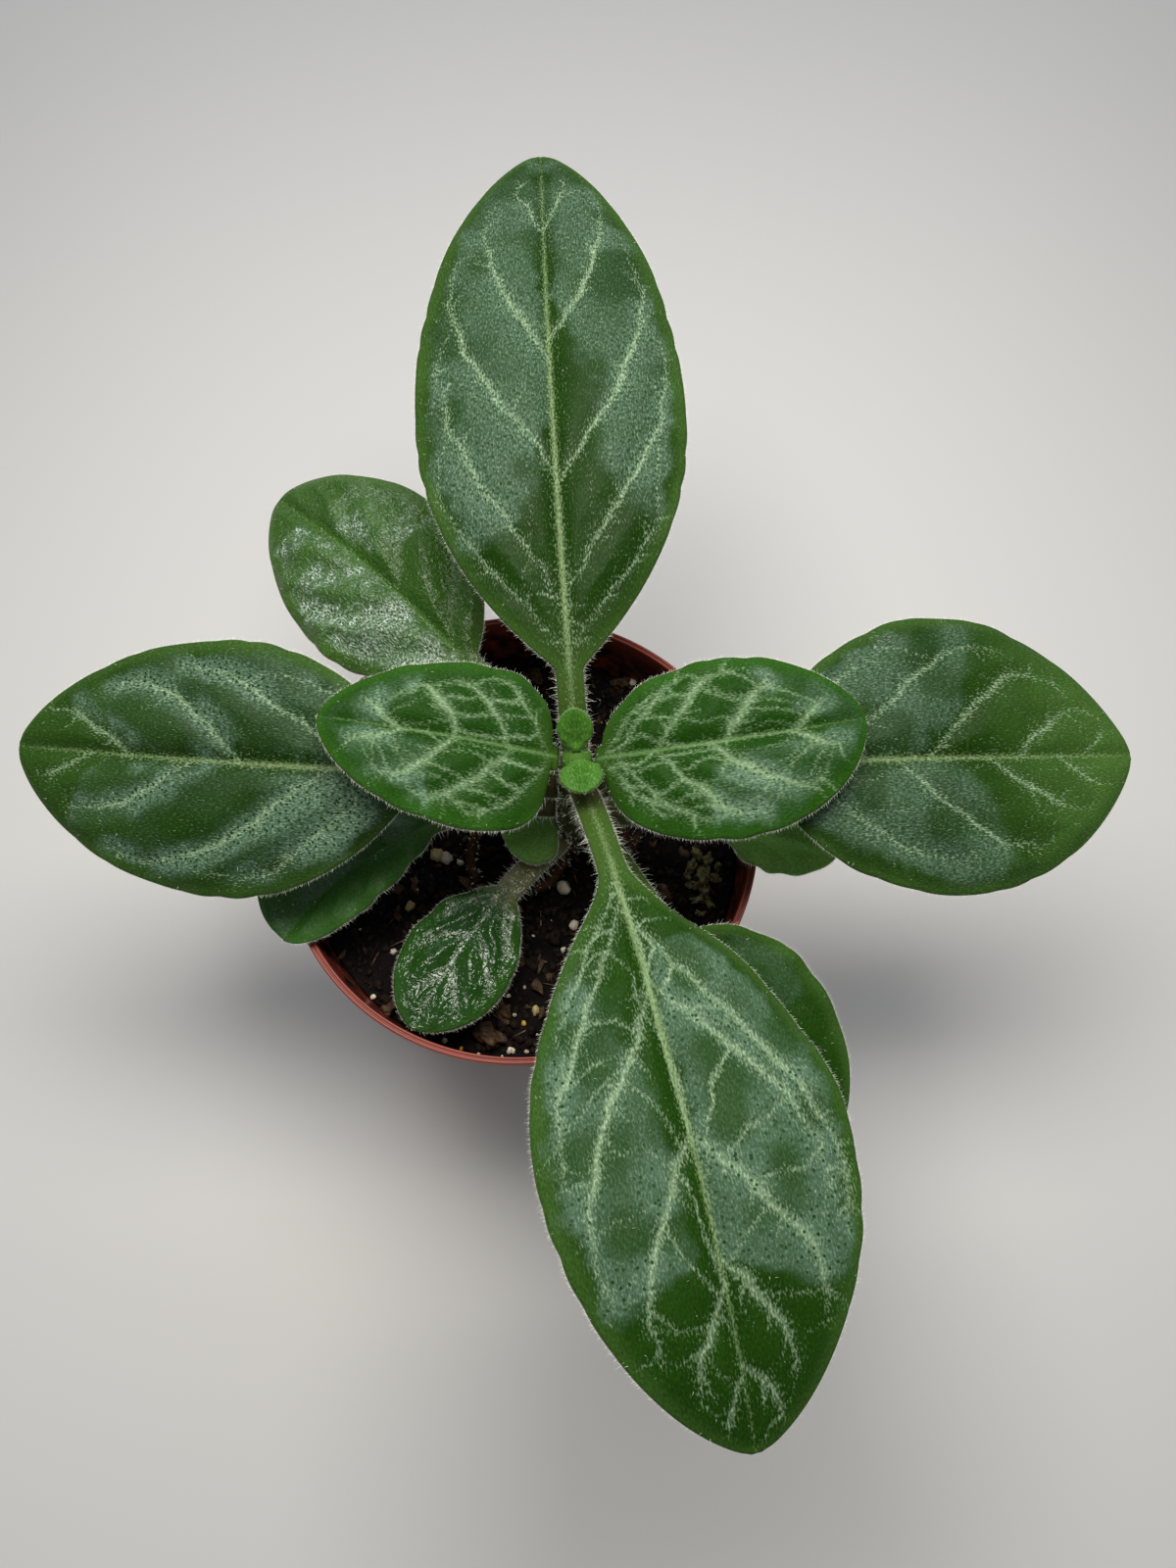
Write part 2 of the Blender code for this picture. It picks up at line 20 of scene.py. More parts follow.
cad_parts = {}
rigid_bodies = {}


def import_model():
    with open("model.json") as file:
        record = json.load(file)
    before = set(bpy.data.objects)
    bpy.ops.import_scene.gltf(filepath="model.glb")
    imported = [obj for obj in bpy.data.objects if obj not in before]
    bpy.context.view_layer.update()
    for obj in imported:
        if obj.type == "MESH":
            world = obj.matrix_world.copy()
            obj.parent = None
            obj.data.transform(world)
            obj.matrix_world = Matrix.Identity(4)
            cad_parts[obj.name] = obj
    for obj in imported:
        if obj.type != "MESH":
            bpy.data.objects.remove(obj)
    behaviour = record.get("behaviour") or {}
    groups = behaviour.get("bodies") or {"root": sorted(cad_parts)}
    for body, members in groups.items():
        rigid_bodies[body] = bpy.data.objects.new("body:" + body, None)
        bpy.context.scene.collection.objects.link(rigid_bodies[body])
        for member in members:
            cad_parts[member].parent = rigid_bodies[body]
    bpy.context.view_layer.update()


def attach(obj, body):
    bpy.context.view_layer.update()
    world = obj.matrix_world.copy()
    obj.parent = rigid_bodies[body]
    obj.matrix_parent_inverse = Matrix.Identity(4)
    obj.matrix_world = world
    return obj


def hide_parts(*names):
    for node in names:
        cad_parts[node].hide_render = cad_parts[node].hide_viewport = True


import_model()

# %% [markdown]
# ## Helpers
#
# Sizes are given in millimetres and turned to metres once, when a mesh is made. Colours are written as the
# hex values that a painter would mix on a screen, so one function turns them to the linear values that
# Blender's sockets hold. One function adds a node with its settings and its links, for shaders and for
# geometry alike. Where another node is given for a socket, the first output that it has in use is linked.

# %% Units and colours
MM = 0.001


def linear(hex_colour):
    """The linear RGBA of an sRGB hex colour."""
    shares = [int(hex_colour[i:i + 2], 16) / 255 for i in (1, 3, 5)]
    return (*[s / 12.92 if s <= 0.04045 else ((s + 0.055) / 1.055) ** 2.4 for s in shares], 1.0)


def per_mm(size):
    """The texture scale at which a pattern repeats every so many millimetres."""
    return 1.0 / (size * MM)


print("white is", linear("#ffffff"))


# %% Nodes and materials
def plug(tree, node, sockets):
    """Fills a node's sockets, by name or number, with values, outputs or other nodes."""
    for key, value in sockets.items():
        if isinstance(value, bpy.types.Node):
            value = next(output for output in value.outputs if output.enabled)
        if isinstance(value, bpy.types.NodeSocket):
            tree.links.new(value, node.inputs[key])
        else:
            node.inputs[key].default_value = value


def add_node(tree, kind, sockets=None, **settings):
    """A new node of a tree, with its settings and its sockets."""
    node = tree.nodes.new(kind)
    for name, value in settings.items():
        setattr(node, name, value)
    plug(tree, node, sockets or {})
    return node


def new_material(name):
    """A new material, with its node tree and its Principled shader."""
    material = bpy.data.materials.new(name)
    material.use_nodes = True
    tree = material.node_tree
    return material, tree, tree.nodes["Principled BSDF"]


# %% Meshes and pieces
def show(name, data):
    """An object of the scene for a mesh, a lamp or a camera."""
    made = bpy.data.objects.new(name, data)
    bpy.context.scene.collection.objects.link(made)
    return made


def add_object(name, points, faces, edges=()):
    """A smooth mesh object from points in millimetres."""
    mesh = bpy.data.meshes.new(name)
    mesh.from_pydata(np.asarray(points, float) * MM, list(edges), faces)
    mesh.shade_smooth()
    return show(name, mesh)


def ring_faces(rings, sides):
    """The faces of a closed form laid in rings, whose first and last pole come after them in the list."""
    first = rings * sides
    last_ring = first - sides
    faces = []
    for side in range(sides):
        after = (side + 1) % sides
        faces.append((first, after, side))
        faces.append((first + 1, last_ring + side, last_ring + after))
        for low in range(0, last_ring, sides):
            faces.append((low + side, low + after, low + sides + after, low + sides + side))
    return faces


def mark(mesh, label, kind, values, domain="POINT"):
    """Stores a value or a vector for each point or edge of a mesh."""
    layer = mesh.attributes.get(label) or mesh.attributes.new(label, kind, domain)
    layer.data.foreach_set("vector" if kind == "FLOAT_VECTOR" else "value", np.ravel(values))


def settle(piece, slot, *nodes):
    """Hangs a finished piece in the frame, in the place of the plain solids it stands for."""
    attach(piece, "root")
    if nodes:
        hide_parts(*nodes)
    triangles = sum(len(face.vertices) - 2 for face in piece.data.polygons)
    print(f"{piece.name}: {triangles} triangles")


def close_in(number, low, high):
    """A smooth step from 0 at the low value to 1 at the high one."""
    share = np.clip((number - low) / (high - low), 0.0, 1.0)
    return share * share * (3.0 - 2.0 * share)


print("faces of a form with 3 rings of 8 sides:", len(ring_faces(3, 8)))

# %% [markdown]
# ## Growing things with Geometry Nodes
#
# Hairs, crumbs and grains repeat by the thousand, so node trees grow them. Each tree takes a host mesh and
# named sizes, places copies along an edge or over a surface with a fixed seed, makes them real and gives
# them their material. `grow` sets the inputs before the host is first evaluated, takes the result as a
# plain mesh of its own, and leaves the host as it was.

# %% Run a tree on a host
def new_tree(name, **sizes):
    """A geometry tree with named inputs, with what it is given and the node that takes its result."""
    tree = bpy.data.node_groups.new(name, "GeometryNodeTree")
    tree.interface.new_socket(name="Geometry", in_out="OUTPUT", socket_type="NodeSocketGeometry")
    for label, kind in sizes.items():
        tree.interface.new_socket(name=label.replace("_", " "), in_out="INPUT",
                                  socket_type="NodeSocket" + kind)
    return tree, tree.nodes.new("NodeGroupInput").outputs, tree.nodes.new("NodeGroupOutput")


def end_tree(tree, geometry, given, result):
    """The end that the trees share: the copies are made real and take their material."""
    real = add_node(tree, "GeometryNodeRealizeInstances", {"Geometry": geometry})
    coloured = add_node(tree, "GeometryNodeSetMaterial", {"Geometry": real, "Material": given["Material"]})
    plug(tree, result, {"Geometry": coloured})
    print(f"{tree.name}: {len(tree.nodes)} nodes")


def grow(name, host, tree, **sizes):
    """The tree's result on the host, as a new object with a plain mesh."""
    wanted = {label.replace("_", " "): value for label, value in sizes.items()}
    modifier = host.modifiers.new(tree.name, "NODES")
    modifier.node_group = tree
    for socket in tree.interface.items_tree:
        if socket.in_out == "INPUT" and socket.name in wanted:
            modifier[socket.identifier] = wanted[socket.name]
    bpy.context.view_layer.update()
    evaluated = host.evaluated_get(bpy.context.evaluated_depsgraph_get())
    mesh = bpy.data.meshes.new_from_object(evaluated)
    host.modifiers.remove(modifier)
    mesh.name = name
    return show(name, mesh)


# %% [markdown]
# ## The camera
#
# The photograph was taken by hand from above and a little in front. Nothing in it tells the lens, so that
# is assumed to be a phone's usual one, equal to 26 mm on 35 mm film. With it, the ellipse that the pot's rim
# makes fixes the camera: it looks down at 68 degrees, and its height above the rim follows from the rim's
# 100 mm. The whole frame is 1200 by 1600 pixels, so the long side is the upright one.

# %% Place the camera
CAMERA_PLACE = Vector((14.1, -85.3, 319.5))
CAMERA_TILT = math.radians(22.0)
PHOTO_WIDTH = 1200
PHOTO_HEIGHT = 1600
FOCAL_PIXELS = 1201.7
SENSOR = 36.0

view = bpy.data.cameras.new("photo_camera")
view.sensor_width = SENSOR
view.lens = SENSOR * FOCAL_PIXELS / PHOTO_HEIGHT
view.clip_start = 0.01
camera = show("photo_camera", view)
camera.location = CAMERA_PLACE * MM
camera.rotation_euler = (CAMERA_TILT, 0.0, 0.0)
bpy.context.scene.camera = camera
print(f"lens {view.lens:.2f} mm")


# %% Find the point behind a pixel
def on_level(across, down, height):
    """The point at a height, in millimetres, that a pixel of the photograph shows."""
    right = (across - PHOTO_WIDTH / 2) / FOCAL_PIXELS
    up = (PHOTO_HEIGHT / 2 - down) / FOCAL_PIXELS
    ahead = Vector((right, up, -1.0))
    ahead.rotate(Matrix.Rotation(CAMERA_TILT, 3, "X"))
    return CAMERA_PLACE + ahead * ((height - CAMERA_PLACE.z) / ahead.z)


print("the photograph's middle meets the rim's level at", on_level(600, 800, 86)[:])

# %% [markdown]
# ## Floor and light
#
# The plant stands on a plain pale floor. The shadows in the photograph spread outwards from the plant on
# both sides, so the main light is near: a soft lamp a hand's breadth above the camera and a little behind
# the plant. A wide dim panel stands behind the plant. It adds little light, but the leaves that lean back
# mirror it towards the camera as a soft sheen, which adds to the silver and the sheen painted on them. The
# rest is a bright room.

# %% Make the stage
FLOOR_SIDE = 6000.0
FLOOR_COLOUR = linear("#e4e3e1")
ROOM_COLOUR = linear("#e9eef2")
ROOM_STRENGTH = 0.24
LAMPS = (
    # name, place and aim in millimetres, size in millimetres, watts, colour
    ("shelf_lamp", (5, 70, 440), (10, 30, 80), (320, 140), 1.52, "#fffaf2"),
    ("back_panel", (0, 900, 800), (0, 0, 100), (1100, 700), 2.8, "#f2f6ff"),
)

paint, tree, shader = new_material("satin_painted_board")
plug(tree, shader, {"Base Color": FLOOR_COLOUR, "Roughness": 0.4})
half = FLOOR_SIDE / 2
corners = [(-half, -half, 0), (half, -half, 0), (half, half, 0), (-half, half, 0)]
floor = add_object("floor", corners, [(0, 1, 2, 3)])
floor.data.materials.append(paint)

room = bpy.data.worlds.new("bright_room")
room.use_nodes = True
backdrop = room.node_tree.nodes["Background"]
plug(room.node_tree, backdrop, {"Color": ROOM_COLOUR, "Strength": ROOM_STRENGTH})
bpy.context.scene.world = room
bpy.context.scene.view_settings.view_transform = "Standard"

for name, place, aim, size, watts, colour in LAMPS:
    lamp = bpy.data.lights.new(name, "AREA")
    lamp.shape = "RECTANGLE"
    lamp.size, lamp.size_y = (side * MM for side in size)
    lamp.energy = watts
    lamp.color = linear(colour)[:3]
    holder = show(name, lamp)
    holder.location = Vector(place) * MM
    holder.rotation_euler = (Vector(aim) - Vector(place)).to_track_quat("-Z", "Y").to_euler()
print("lights:", [lamp[0] for lamp in LAMPS])

# %% [markdown]
# ## The pot
#
# The pot is a thin nursery pot of terracotta coloured polypropylene, moulded in one shot. It is a turned
# form, so its section is written once and a node tree sweeps it round a circle, closes the two poles and
# cuts the drain holes. Its lip has two fine beads, which show as the double line round the rim.

# %% Write the pot's section
POT_HEIGHT = 86.0
POT_FOOT_RADIUS = 36.0
POT_RIM_RADIUS = 50.0
POT_WALL = 1.0
POT_FLOOR = 2.0
COLLAR_HEIGHT = 17.0
COLLAR_FLARE = 2.2
COLLAR_STEP = 1.2
LIP_HEIGHT = 2.4
LIP_OVERHANG = 0.5
FOOT_BEVEL = 1.2
BEAD_RISE = 0.3
BEAD_STEPS = 7
CORNER = 0.25
LARGEST_CUT = 0.45          # share of a side that a corner may take
COLLAR_FOOT = POT_HEIGHT - COLLAR_HEIGHT
LIP_FOOT = POT_HEIGHT - LIP_HEIGHT
COLLAR = POT_RIM_RADIUS - LIP_OVERHANG
COLLAR_LOW = COLLAR - COLLAR_FLARE
BODY_TOP = COLLAR_LOW - COLLAR_STEP


def wall_radius(height):
    """The inner radius of the tapered wall below the collar."""
    share = min(height / COLLAR_FOOT, 1.0)
    return POT_FOOT_RADIUS + (BODY_TOP - POT_FOOT_RADIUS) * share - POT_WALL


def bead(outer, inner, height):
    """A low rounded bead across the lip, from its outer to its inner radius."""
    turns = np.linspace(0.0, math.pi, BEAD_STEPS)
    middle = (outer + inner) / 2
    return [(middle + (outer - middle) * math.cos(a), height + BEAD_RISE * math.sin(a)) for a in turns]


def eased(corners, ease):
    """The section with each of its corners cut back a little on both sides."""
    points = [corners[0]]
    for before, here, after in zip(corners, corners[1:], corners[2:]):
        for other in (before, after):
            away = math.dist(here, other)
            share = min(ease / away, LARGEST_CUT) if away else 0.0
            points.append((here[0] + (other[0] - here[0]) * share, here[1] + (other[1] - here[1]) * share))
    return points + [corners[-1]]


inside = COLLAR - POT_WALL
lip_middle = (POT_RIM_RADIUS + inside) / 2
section = eased([
    (0.0, 0.0),
    (POT_FOOT_RADIUS - FOOT_BEVEL, 0.0),
    (POT_FOOT_RADIUS, FOOT_BEVEL),
    (BODY_TOP, COLLAR_FOOT - COLLAR_STEP),
    (COLLAR_LOW, COLLAR_FOOT),
    (COLLAR, LIP_FOOT - LIP_OVERHANG),
    (POT_RIM_RADIUS, LIP_FOOT),
    (POT_RIM_RADIUS, POT_HEIGHT - BEAD_RISE),
], CORNER)
section += bead(POT_RIM_RADIUS, lip_middle, POT_HEIGHT - BEAD_RISE)
section += bead(lip_middle - CORNER / 2, inside, POT_HEIGHT - BEAD_RISE)
section += eased([
    (inside, LIP_FOOT - LIP_OVERHANG),
    (COLLAR_LOW - POT_WALL, COLLAR_FOOT),
    (wall_radius(COLLAR_FOOT), COLLAR_FOOT - COLLAR_STEP),
    (wall_radius(POT_FLOOR), POT_FLOOR),
    (0.0, POT_FLOOR),
], CORNER)
print("points in the pot's section:", len(section))

# %% Sweep the section and drill the floor
POT_SEGMENTS = 192
DRAIN_HOLES = 6
DRAIN_RADIUS = 4.0
DRAIN_CIRCLE = 24.0
DRAIN_SIDES = 32
DRILL_LENGTH = 4.0          # times the floor's thickness
POLE_MERGE = 0.01

turned, given, result = new_tree("Turned pot", Section="Geometry", Segments="Int", Rim_Radius="Float",
                                 Holes="Int", Hole_Radius="Float", Hole_Circle="Float", Floor="Float",
                                 Material="Material")
outline_curve = add_node(turned, "GeometryNodeMeshToCurve", {"Mesh": given["Section"]})
circle = add_node(turned, "GeometryNodeCurvePrimitiveCircle",
                  {"Resolution": given["Segments"], "Radius": given["Rim Radius"]})
upright = add_node(turned, "GeometryNodeSetCurveNormal", {"Curve": circle}, mode="Z_UP")
swept = add_node(turned, "GeometryNodeCurveToMesh", {"Curve": upright, "Profile Curve": outline_curve})
closed = add_node(turned, "GeometryNodeMergeByDistance", {"Geometry": swept, "Distance": POLE_MERGE * MM})
ring = add_node(turned, "GeometryNodeCurvePrimitiveCircle",
                {"Resolution": given["Holes"], "Radius": given["Hole Circle"]})
depth = add_node(turned, "ShaderNodeMath", {0: given["Floor"], 1: DRILL_LENGTH}, operation="MULTIPLY")
drill = add_node(turned, "GeometryNodeMeshCylinder",
                 {"Vertices": DRAIN_SIDES, "Radius": given["Hole Radius"], "Depth": depth})
drills = add_node(turned, "GeometryNodeInstanceOnPoints", {"Points": ring, "Instance": drill})
real_drills = add_node(turned, "GeometryNodeRealizeInstances", {"Geometry": drills})
drained = add_node(turned, "GeometryNodeMeshBoolean", {"Mesh 1": closed, "Mesh 2": real_drills},
                   operation="DIFFERENCE", solver="EXACT")
smooth = add_node(turned, "GeometryNodeSetShadeSmooth", {"Geometry": drained})
end_tree(turned, smooth, given, result)

# %% [markdown]
# ### Its finish
#
# Polypropylene takes a soft satin from its mould and scatters a little light, so the colour looks warm and
# even. Handling scuffs it: faint rings from the mould and slightly paler patches. The true rings are finer
# than a picture can show, so they are drawn coarser, a centimetre apart. Inside, above the peat, dark
# patches darken the inner wall towards the peat: partly splashed soil, and partly painted shade where the
# leaves overhang it. The patches stop at the middle of the wall, so that they stay off its outer side.

# %% Polypropylene
MOULD_RING = 1.6            # millimetres for each radian of the rings
WAVE_RATE = 20.0            # radians that a wave texture runs through in each unit
SCUFF_SIZE = 14.0
# Where the inner wall is darkened, by splashed soil and by painted shade:
SPLASH_TOP = POT_HEIGHT - 1.5
SPLASH_FOOT = POT_HEIGHT - 6.0
SPLASH_SIZE = 3.0
SPLASH_LEVELS = (0.72, 0.42)
INNER_FOOT = COLLAR_FOOT + 1.0

terracotta, tree, shader = new_material("moulded_polypropylene_terracotta")
place = add_node(tree, "ShaderNodeTexCoord").outputs["Object"]
scuffs = add_node(tree, "ShaderNodeTexNoise", {"Vector": place, "Scale": per_mm(SCUFF_SIZE), "Detail": 5.0})
body = add_node(tree, "ShaderNodeMix", {0: scuffs, 6: linear("#702a1e"), 7: linear("#9c4433")},
                data_type="RGBA")
parts = add_node(tree, "ShaderNodeSeparateXYZ", {0: place})
height = parts.outputs["Z"]
flat = add_node(tree, "ShaderNodeCombineXYZ", {0: parts.outputs["X"], 1: parts.outputs["Y"]})
reach = add_node(tree, "ShaderNodeVectorMath", {0: flat}, operation="LENGTH")
mid_wall = add_node(tree, "ShaderNodeMapRange",
                    {"Value": height, "From Min": COLLAR_FOOT * MM, "From Max": LIP_FOOT * MM,
                     "To Min": (COLLAR_LOW - POT_WALL / 2) * MM, "To Max": (COLLAR - POT_WALL / 2) * MM})
within = add_node(tree, "ShaderNodeMath", {0: reach, 1: mid_wall}, operation="LESS_THAN")
over_foot = add_node(tree, "ShaderNodeMath", {0: height, 1: INNER_FOOT * MM}, operation="GREATER_THAN")
inner = add_node(tree, "ShaderNodeMath", {0: within, 1: over_foot}, operation="MULTIPLY")
low_down = add_node(tree, "ShaderNodeMapRange",
                    {"Value": height, "From Min": SPLASH_TOP * MM, "From Max": SPLASH_FOOT * MM})
soiled_and_shaded = add_node(tree, "ShaderNodeMath", {0: inner, 1: low_down}, operation="MULTIPLY")
splash = add_node(tree, "ShaderNodeTexNoise", {"Vector": place, "Scale": per_mm(SPLASH_SIZE), "Detail": 6.0})
patches = add_node(tree, "ShaderNodeMapRange",
                   {"Value": splash, "From Min": SPLASH_LEVELS[0], "From Max": SPLASH_LEVELS[1]})
splash_and_shade = add_node(tree, "ShaderNodeMath", {0: soiled_and_shaded, 1: patches}, operation="MULTIPLY")
# Painted shade and splashed soil: the inner wall darkens towards the peat, in patches.
stained_and_shaded = add_node(tree, "ShaderNodeMix", {0: splash_and_shade, 6: body, 7: linear("#1c0f0c")}, data_type="RGBA")
rough = add_node(tree, "ShaderNodeMapRange", {"Value": scuffs, "To Min": 0.3, "To Max": 0.5})
rings = add_node(tree, "ShaderNodeTexWave",
                 {"Vector": place, "Scale": per_mm(MOULD_RING * WAVE_RATE), "Distortion": 0.6},
                 bands_direction="Z")
relief = add_node(tree, "ShaderNodeBump",
                  {"Height": rings.outputs["Fac"], "Distance": 0.03 * MM, "Strength": 0.5})
plug(tree, shader, {"Base Color": stained_and_shaded, "Roughness": rough, "Normal": relief})
print(terracotta.name, len(tree.nodes), "nodes")

# %% Turn the pot
# The sweep lays the section's +X outwards and its +Y down, and it is written backwards so that faces
# point outwards.
SHARP_ANGLE = math.radians(50)

laid = [(radius - POT_RIM_RADIUS, -height, 0.0) for radius, height in reversed(section)]
links = [(k, k + 1) for k in range(len(laid) - 1)]
blank = add_object("pot_section", laid, [], links)
pot = grow("pot_body", blank, turned, Segments=POT_SEGMENTS, Rim_Radius=POT_RIM_RADIUS * MM,
           Holes=DRAIN_HOLES, Hole_Radius=DRAIN_RADIUS * MM, Hole_Circle=DRAIN_CIRCLE * MM,
           Floor=POT_FLOOR * MM, Material=terracotta)
bpy.data.objects.remove(blank)
pot.data.set_sharp_from_angle(angle=SHARP_ANGLE)
settle(pot, "pot", "pot")

# %% [markdown]
# ## The peat
#
# The pot is filled with black peat and fine bark to about 13 mm below the rim. Its surface rolls in low
# lumps, with smaller crumbs on them. The ground is one closed plug whose top is a height rule with three
# sizes of lump, and everything that lies on it is strewn by a node tree.

# %% Make the plug of peat
SOIL_LEVEL = 73.0
STEM_X = 12.0
STEM_Y = 2.0
CLEARANCE = 0.3
FILLED = (SOIL_LEVEL - COLLAR_FOOT) / (LIP_FOOT - LIP_OVERHANG - COLLAR_FOOT)
SOIL_LOW_REACH = COLLAR_LOW - POT_WALL - CLEARANCE
SOIL_REACH = SOIL_LOW_REACH + COLLAR_FLARE * FILLED
SOIL_RINGS = 84
SOIL_SIDES = 288
LUMPS = (
    # size and height in millimetres
    (13.0, 1.1),
    (4.5, 0.9),
    (1.6, 0.35),
)
LUMPINESS = (0.9, 2.0, 3)
MOUND = 1.5
MOUND_SPREAD = 15.0


def soil_height(x, y):
    """The height of the peat's surface."""
    away = math.hypot(x - STEM_X, y - STEM_Y) / MOUND_SPREAD
    height = SOIL_LEVEL + MOUND * math.exp(-away ** 2)
    for size, rise in LUMPS:
        height += rise * noise.fractal(Vector((x, y, 0.0)) / size, *LUMPINESS)
    return height


turns = np.linspace(0.0, 2.0 * math.pi, SOIL_SIDES, endpoint=False)
points = []
for radius in np.linspace(0.0, SOIL_REACH, SOIL_RINGS + 1)[1:]:
    for turn in turns:
        x, y = radius * math.cos(turn), radius * math.sin(turn)
        points.append((x, y, soil_height(x, y)))
for radius, height in ((SOIL_LOW_REACH, COLLAR_FOOT + CLEARANCE),
                       (wall_radius(COLLAR_FOOT) - CLEARANCE, COLLAR_FOOT - COLLAR_STEP),
                       (wall_radius(POT_FLOOR) - CLEARANCE, POT_FLOOR + CLEARANCE)):
    points += [(radius * math.cos(turn), radius * math.sin(turn), height) for turn in turns]
rings = len(points) // SOIL_SIDES
points += [(0.0, 0.0, soil_height(0.0, 0.0)), (0.0, 0.0, POT_FLOOR + CLEARANCE)]
faces = [(face[0], *face[:0:-1]) for face in ring_faces(rings, SOIL_SIDES)]
peat_ground = add_object("peat_ground", points, faces)
print("peat:", len(points), "points")

# %% [markdown]
# ### Its finishes
#
# Damp peat is nearly black, with brown fibres. Perlite is blown volcanic glass: cream white, matt and
# pitted. Bark chips are brown and fibrous along their length. All of it is dry or rough enough to shine
# far less than a smooth skin does, so the specular level is low.

# %% Peat, perlite and bark
FIBRE_SIZE = 1.2
CRUMB_SIZE = 4.0
GRAIN_PIT = 0.7
BARK_FIBRE = 0.5
CLUMP_LEVELS = (0.35, 0.68)
EARTHY_GLOSS = 0.15


def earthy(name, dark, light, size, roughness, pit, depth):
    """A matt natural matter: two colours mixed in clumps of a size, and pitted."""
    material, tree, shader = new_material(name)
    place = add_node(tree, "ShaderNodeTexCoord").outputs["Object"]
    clumps = add_node(tree, "ShaderNodeTexNoise",
                      {"Vector": place, "Scale": per_mm(size), "Detail": 6.0, "Roughness": 0.7})
    spread = add_node(tree, "ShaderNodeMapRange",
                      {"Value": clumps, "From Min": CLUMP_LEVELS[0], "From Max": CLUMP_LEVELS[1]})
    colour = add_node(tree, "ShaderNodeMix", {0: spread, 6: linear(dark), 7: linear(light)}, data_type="RGBA")
    pits = add_node(tree, "ShaderNodeTexNoise", {"Vector": place, "Scale": per_mm(pit), "Detail": 4.0})
    relief = add_node(tree, "ShaderNodeBump", {"Height": pits, "Distance": depth * MM, "Strength": 1.0})
    plug(tree, shader, {"Base Color": colour, "Normal": relief, "Roughness": roughness,
                        "Specular IOR Level": EARTHY_GLOSS})
    print(name)
    return material


peat = earthy("damp_milled_peat", "#060405", "#150e0d", CRUMB_SIZE, 0.85, FIBRE_SIZE, 0.5)
crumb = earthy("peat_crumb", "#0a0707", "#2c211b", CRUMB_SIZE / 2, 0.8, FIBRE_SIZE, 0.4)
perlite = earthy("expanded_perlite", "#b9ab8c", "#efe9da", GRAIN_PIT * 3, 0.8, GRAIN_PIT, 0.25)
aged_perlite = earthy("stained_perlite", "#8e7c4e", "#cdbf8a", GRAIN_PIT * 3, 0.8, GRAIN_PIT, 0.25)
bark = earthy("composted_pine_bark", "#1c130d", "#6b5340", BARK_FIBRE * 3, 0.8, BARK_FIBRE, 0.3)
straw = earthy("dry_plant_fibre", "#4d3d2c", "#8a7355", 2.0, 0.7, BARK_FIBRE, 0.1)
flake = earthy("mica_flake", "#a8822f", "#d9b45c", 2.0, 0.35, BARK_FIBRE, 0.1)
moss = earthy("dry_cushion_moss", "#322d1b", "#958c60", 1.2, 0.9, 0.5, 0.3)
peat_ground.data.materials.append(peat)
settle(peat_ground, "soil", "soil")

# %% [markdown]
# ### What lies on it
#
# A few odd shapes of each kind are made first, unit sized, and kept off the scene in a collection. The
# tree scatters points over the peat, picks one shape for each, turns it any way and sinks it by half.

# %% Carve the shapes that are strewn
SHAPES_EACH = 5
DENT_RATE = 1.7             # dents in each radius of a lump


def odd_shapes(name, seed, stretch, bumpiness, fineness):
    """A collection of unit sized lumps, each stretched and dented in its own way."""
    draw = random.Random(seed)
    group = bpy.data.collections.new(name)
    for number in range(SHAPES_EACH):
        shell = bmesh.new()
        bmesh.ops.create_icosphere(shell, subdivisions=fineness, radius=1.0)
        shift = Vector((draw.uniform(-9, 9), draw.uniform(-9, 9), number))
        size = Vector([draw.uniform(low, high) for low, high in stretch])
        for corner in shell.verts:
            dent = 1.0 + bumpiness * noise.noise(corner.co * DENT_RATE + shift)
            corner.co = corner.co * dent * size
        mesh = bpy.data.meshes.new(f"{name}_{number}")
        shell.to_mesh(mesh)
        shell.free()
        mesh.shade_smooth()
        group.objects.link(bpy.data.objects.new(f"{name}_{number}", mesh))
    return group


crumb_shapes = odd_shapes("crumb_shapes", 3, ((0.7, 1.0), (0.6, 1.0), (0.5, 0.8)), 0.7, 1)
grain_shapes = odd_shapes("grain_shapes", 4, ((0.8, 1.0), (0.65, 0.95), (0.6, 0.85)), 0.55, 2)
chip_shapes = odd_shapes("chip_shapes", 5, ((0.9, 1.0), (0.25, 0.6), (0.12, 0.25)), 0.8, 2)
nugget_shapes = odd_shapes("nugget_shapes", 7, ((0.85, 1.0), (0.6, 0.85), (0.45, 0.65)), 0.9, 3)
fibre_shapes = odd_shapes("fibre_shapes", 6, ((0.9, 1.0), (0.03, 0.06), (0.03, 0.05)), 1.6, 1)
print("shapes of each kind:", SHAPES_EACH)

# %% Strew shapes over a surface
# Near the wall a lump gets no larger than the room that is left there, so that none stands out through it.
LEAST_LUMP = 0.15
MIDDLE_OF_WALL = np.interp(SOIL_LEVEL, (COLLAR_FOOT, LIP_FOOT), (COLLAR_LOW, COLLAR)) - POT_WALL / 2
RARITY = 2.5                # power of an even chance, so that large lumps are rare

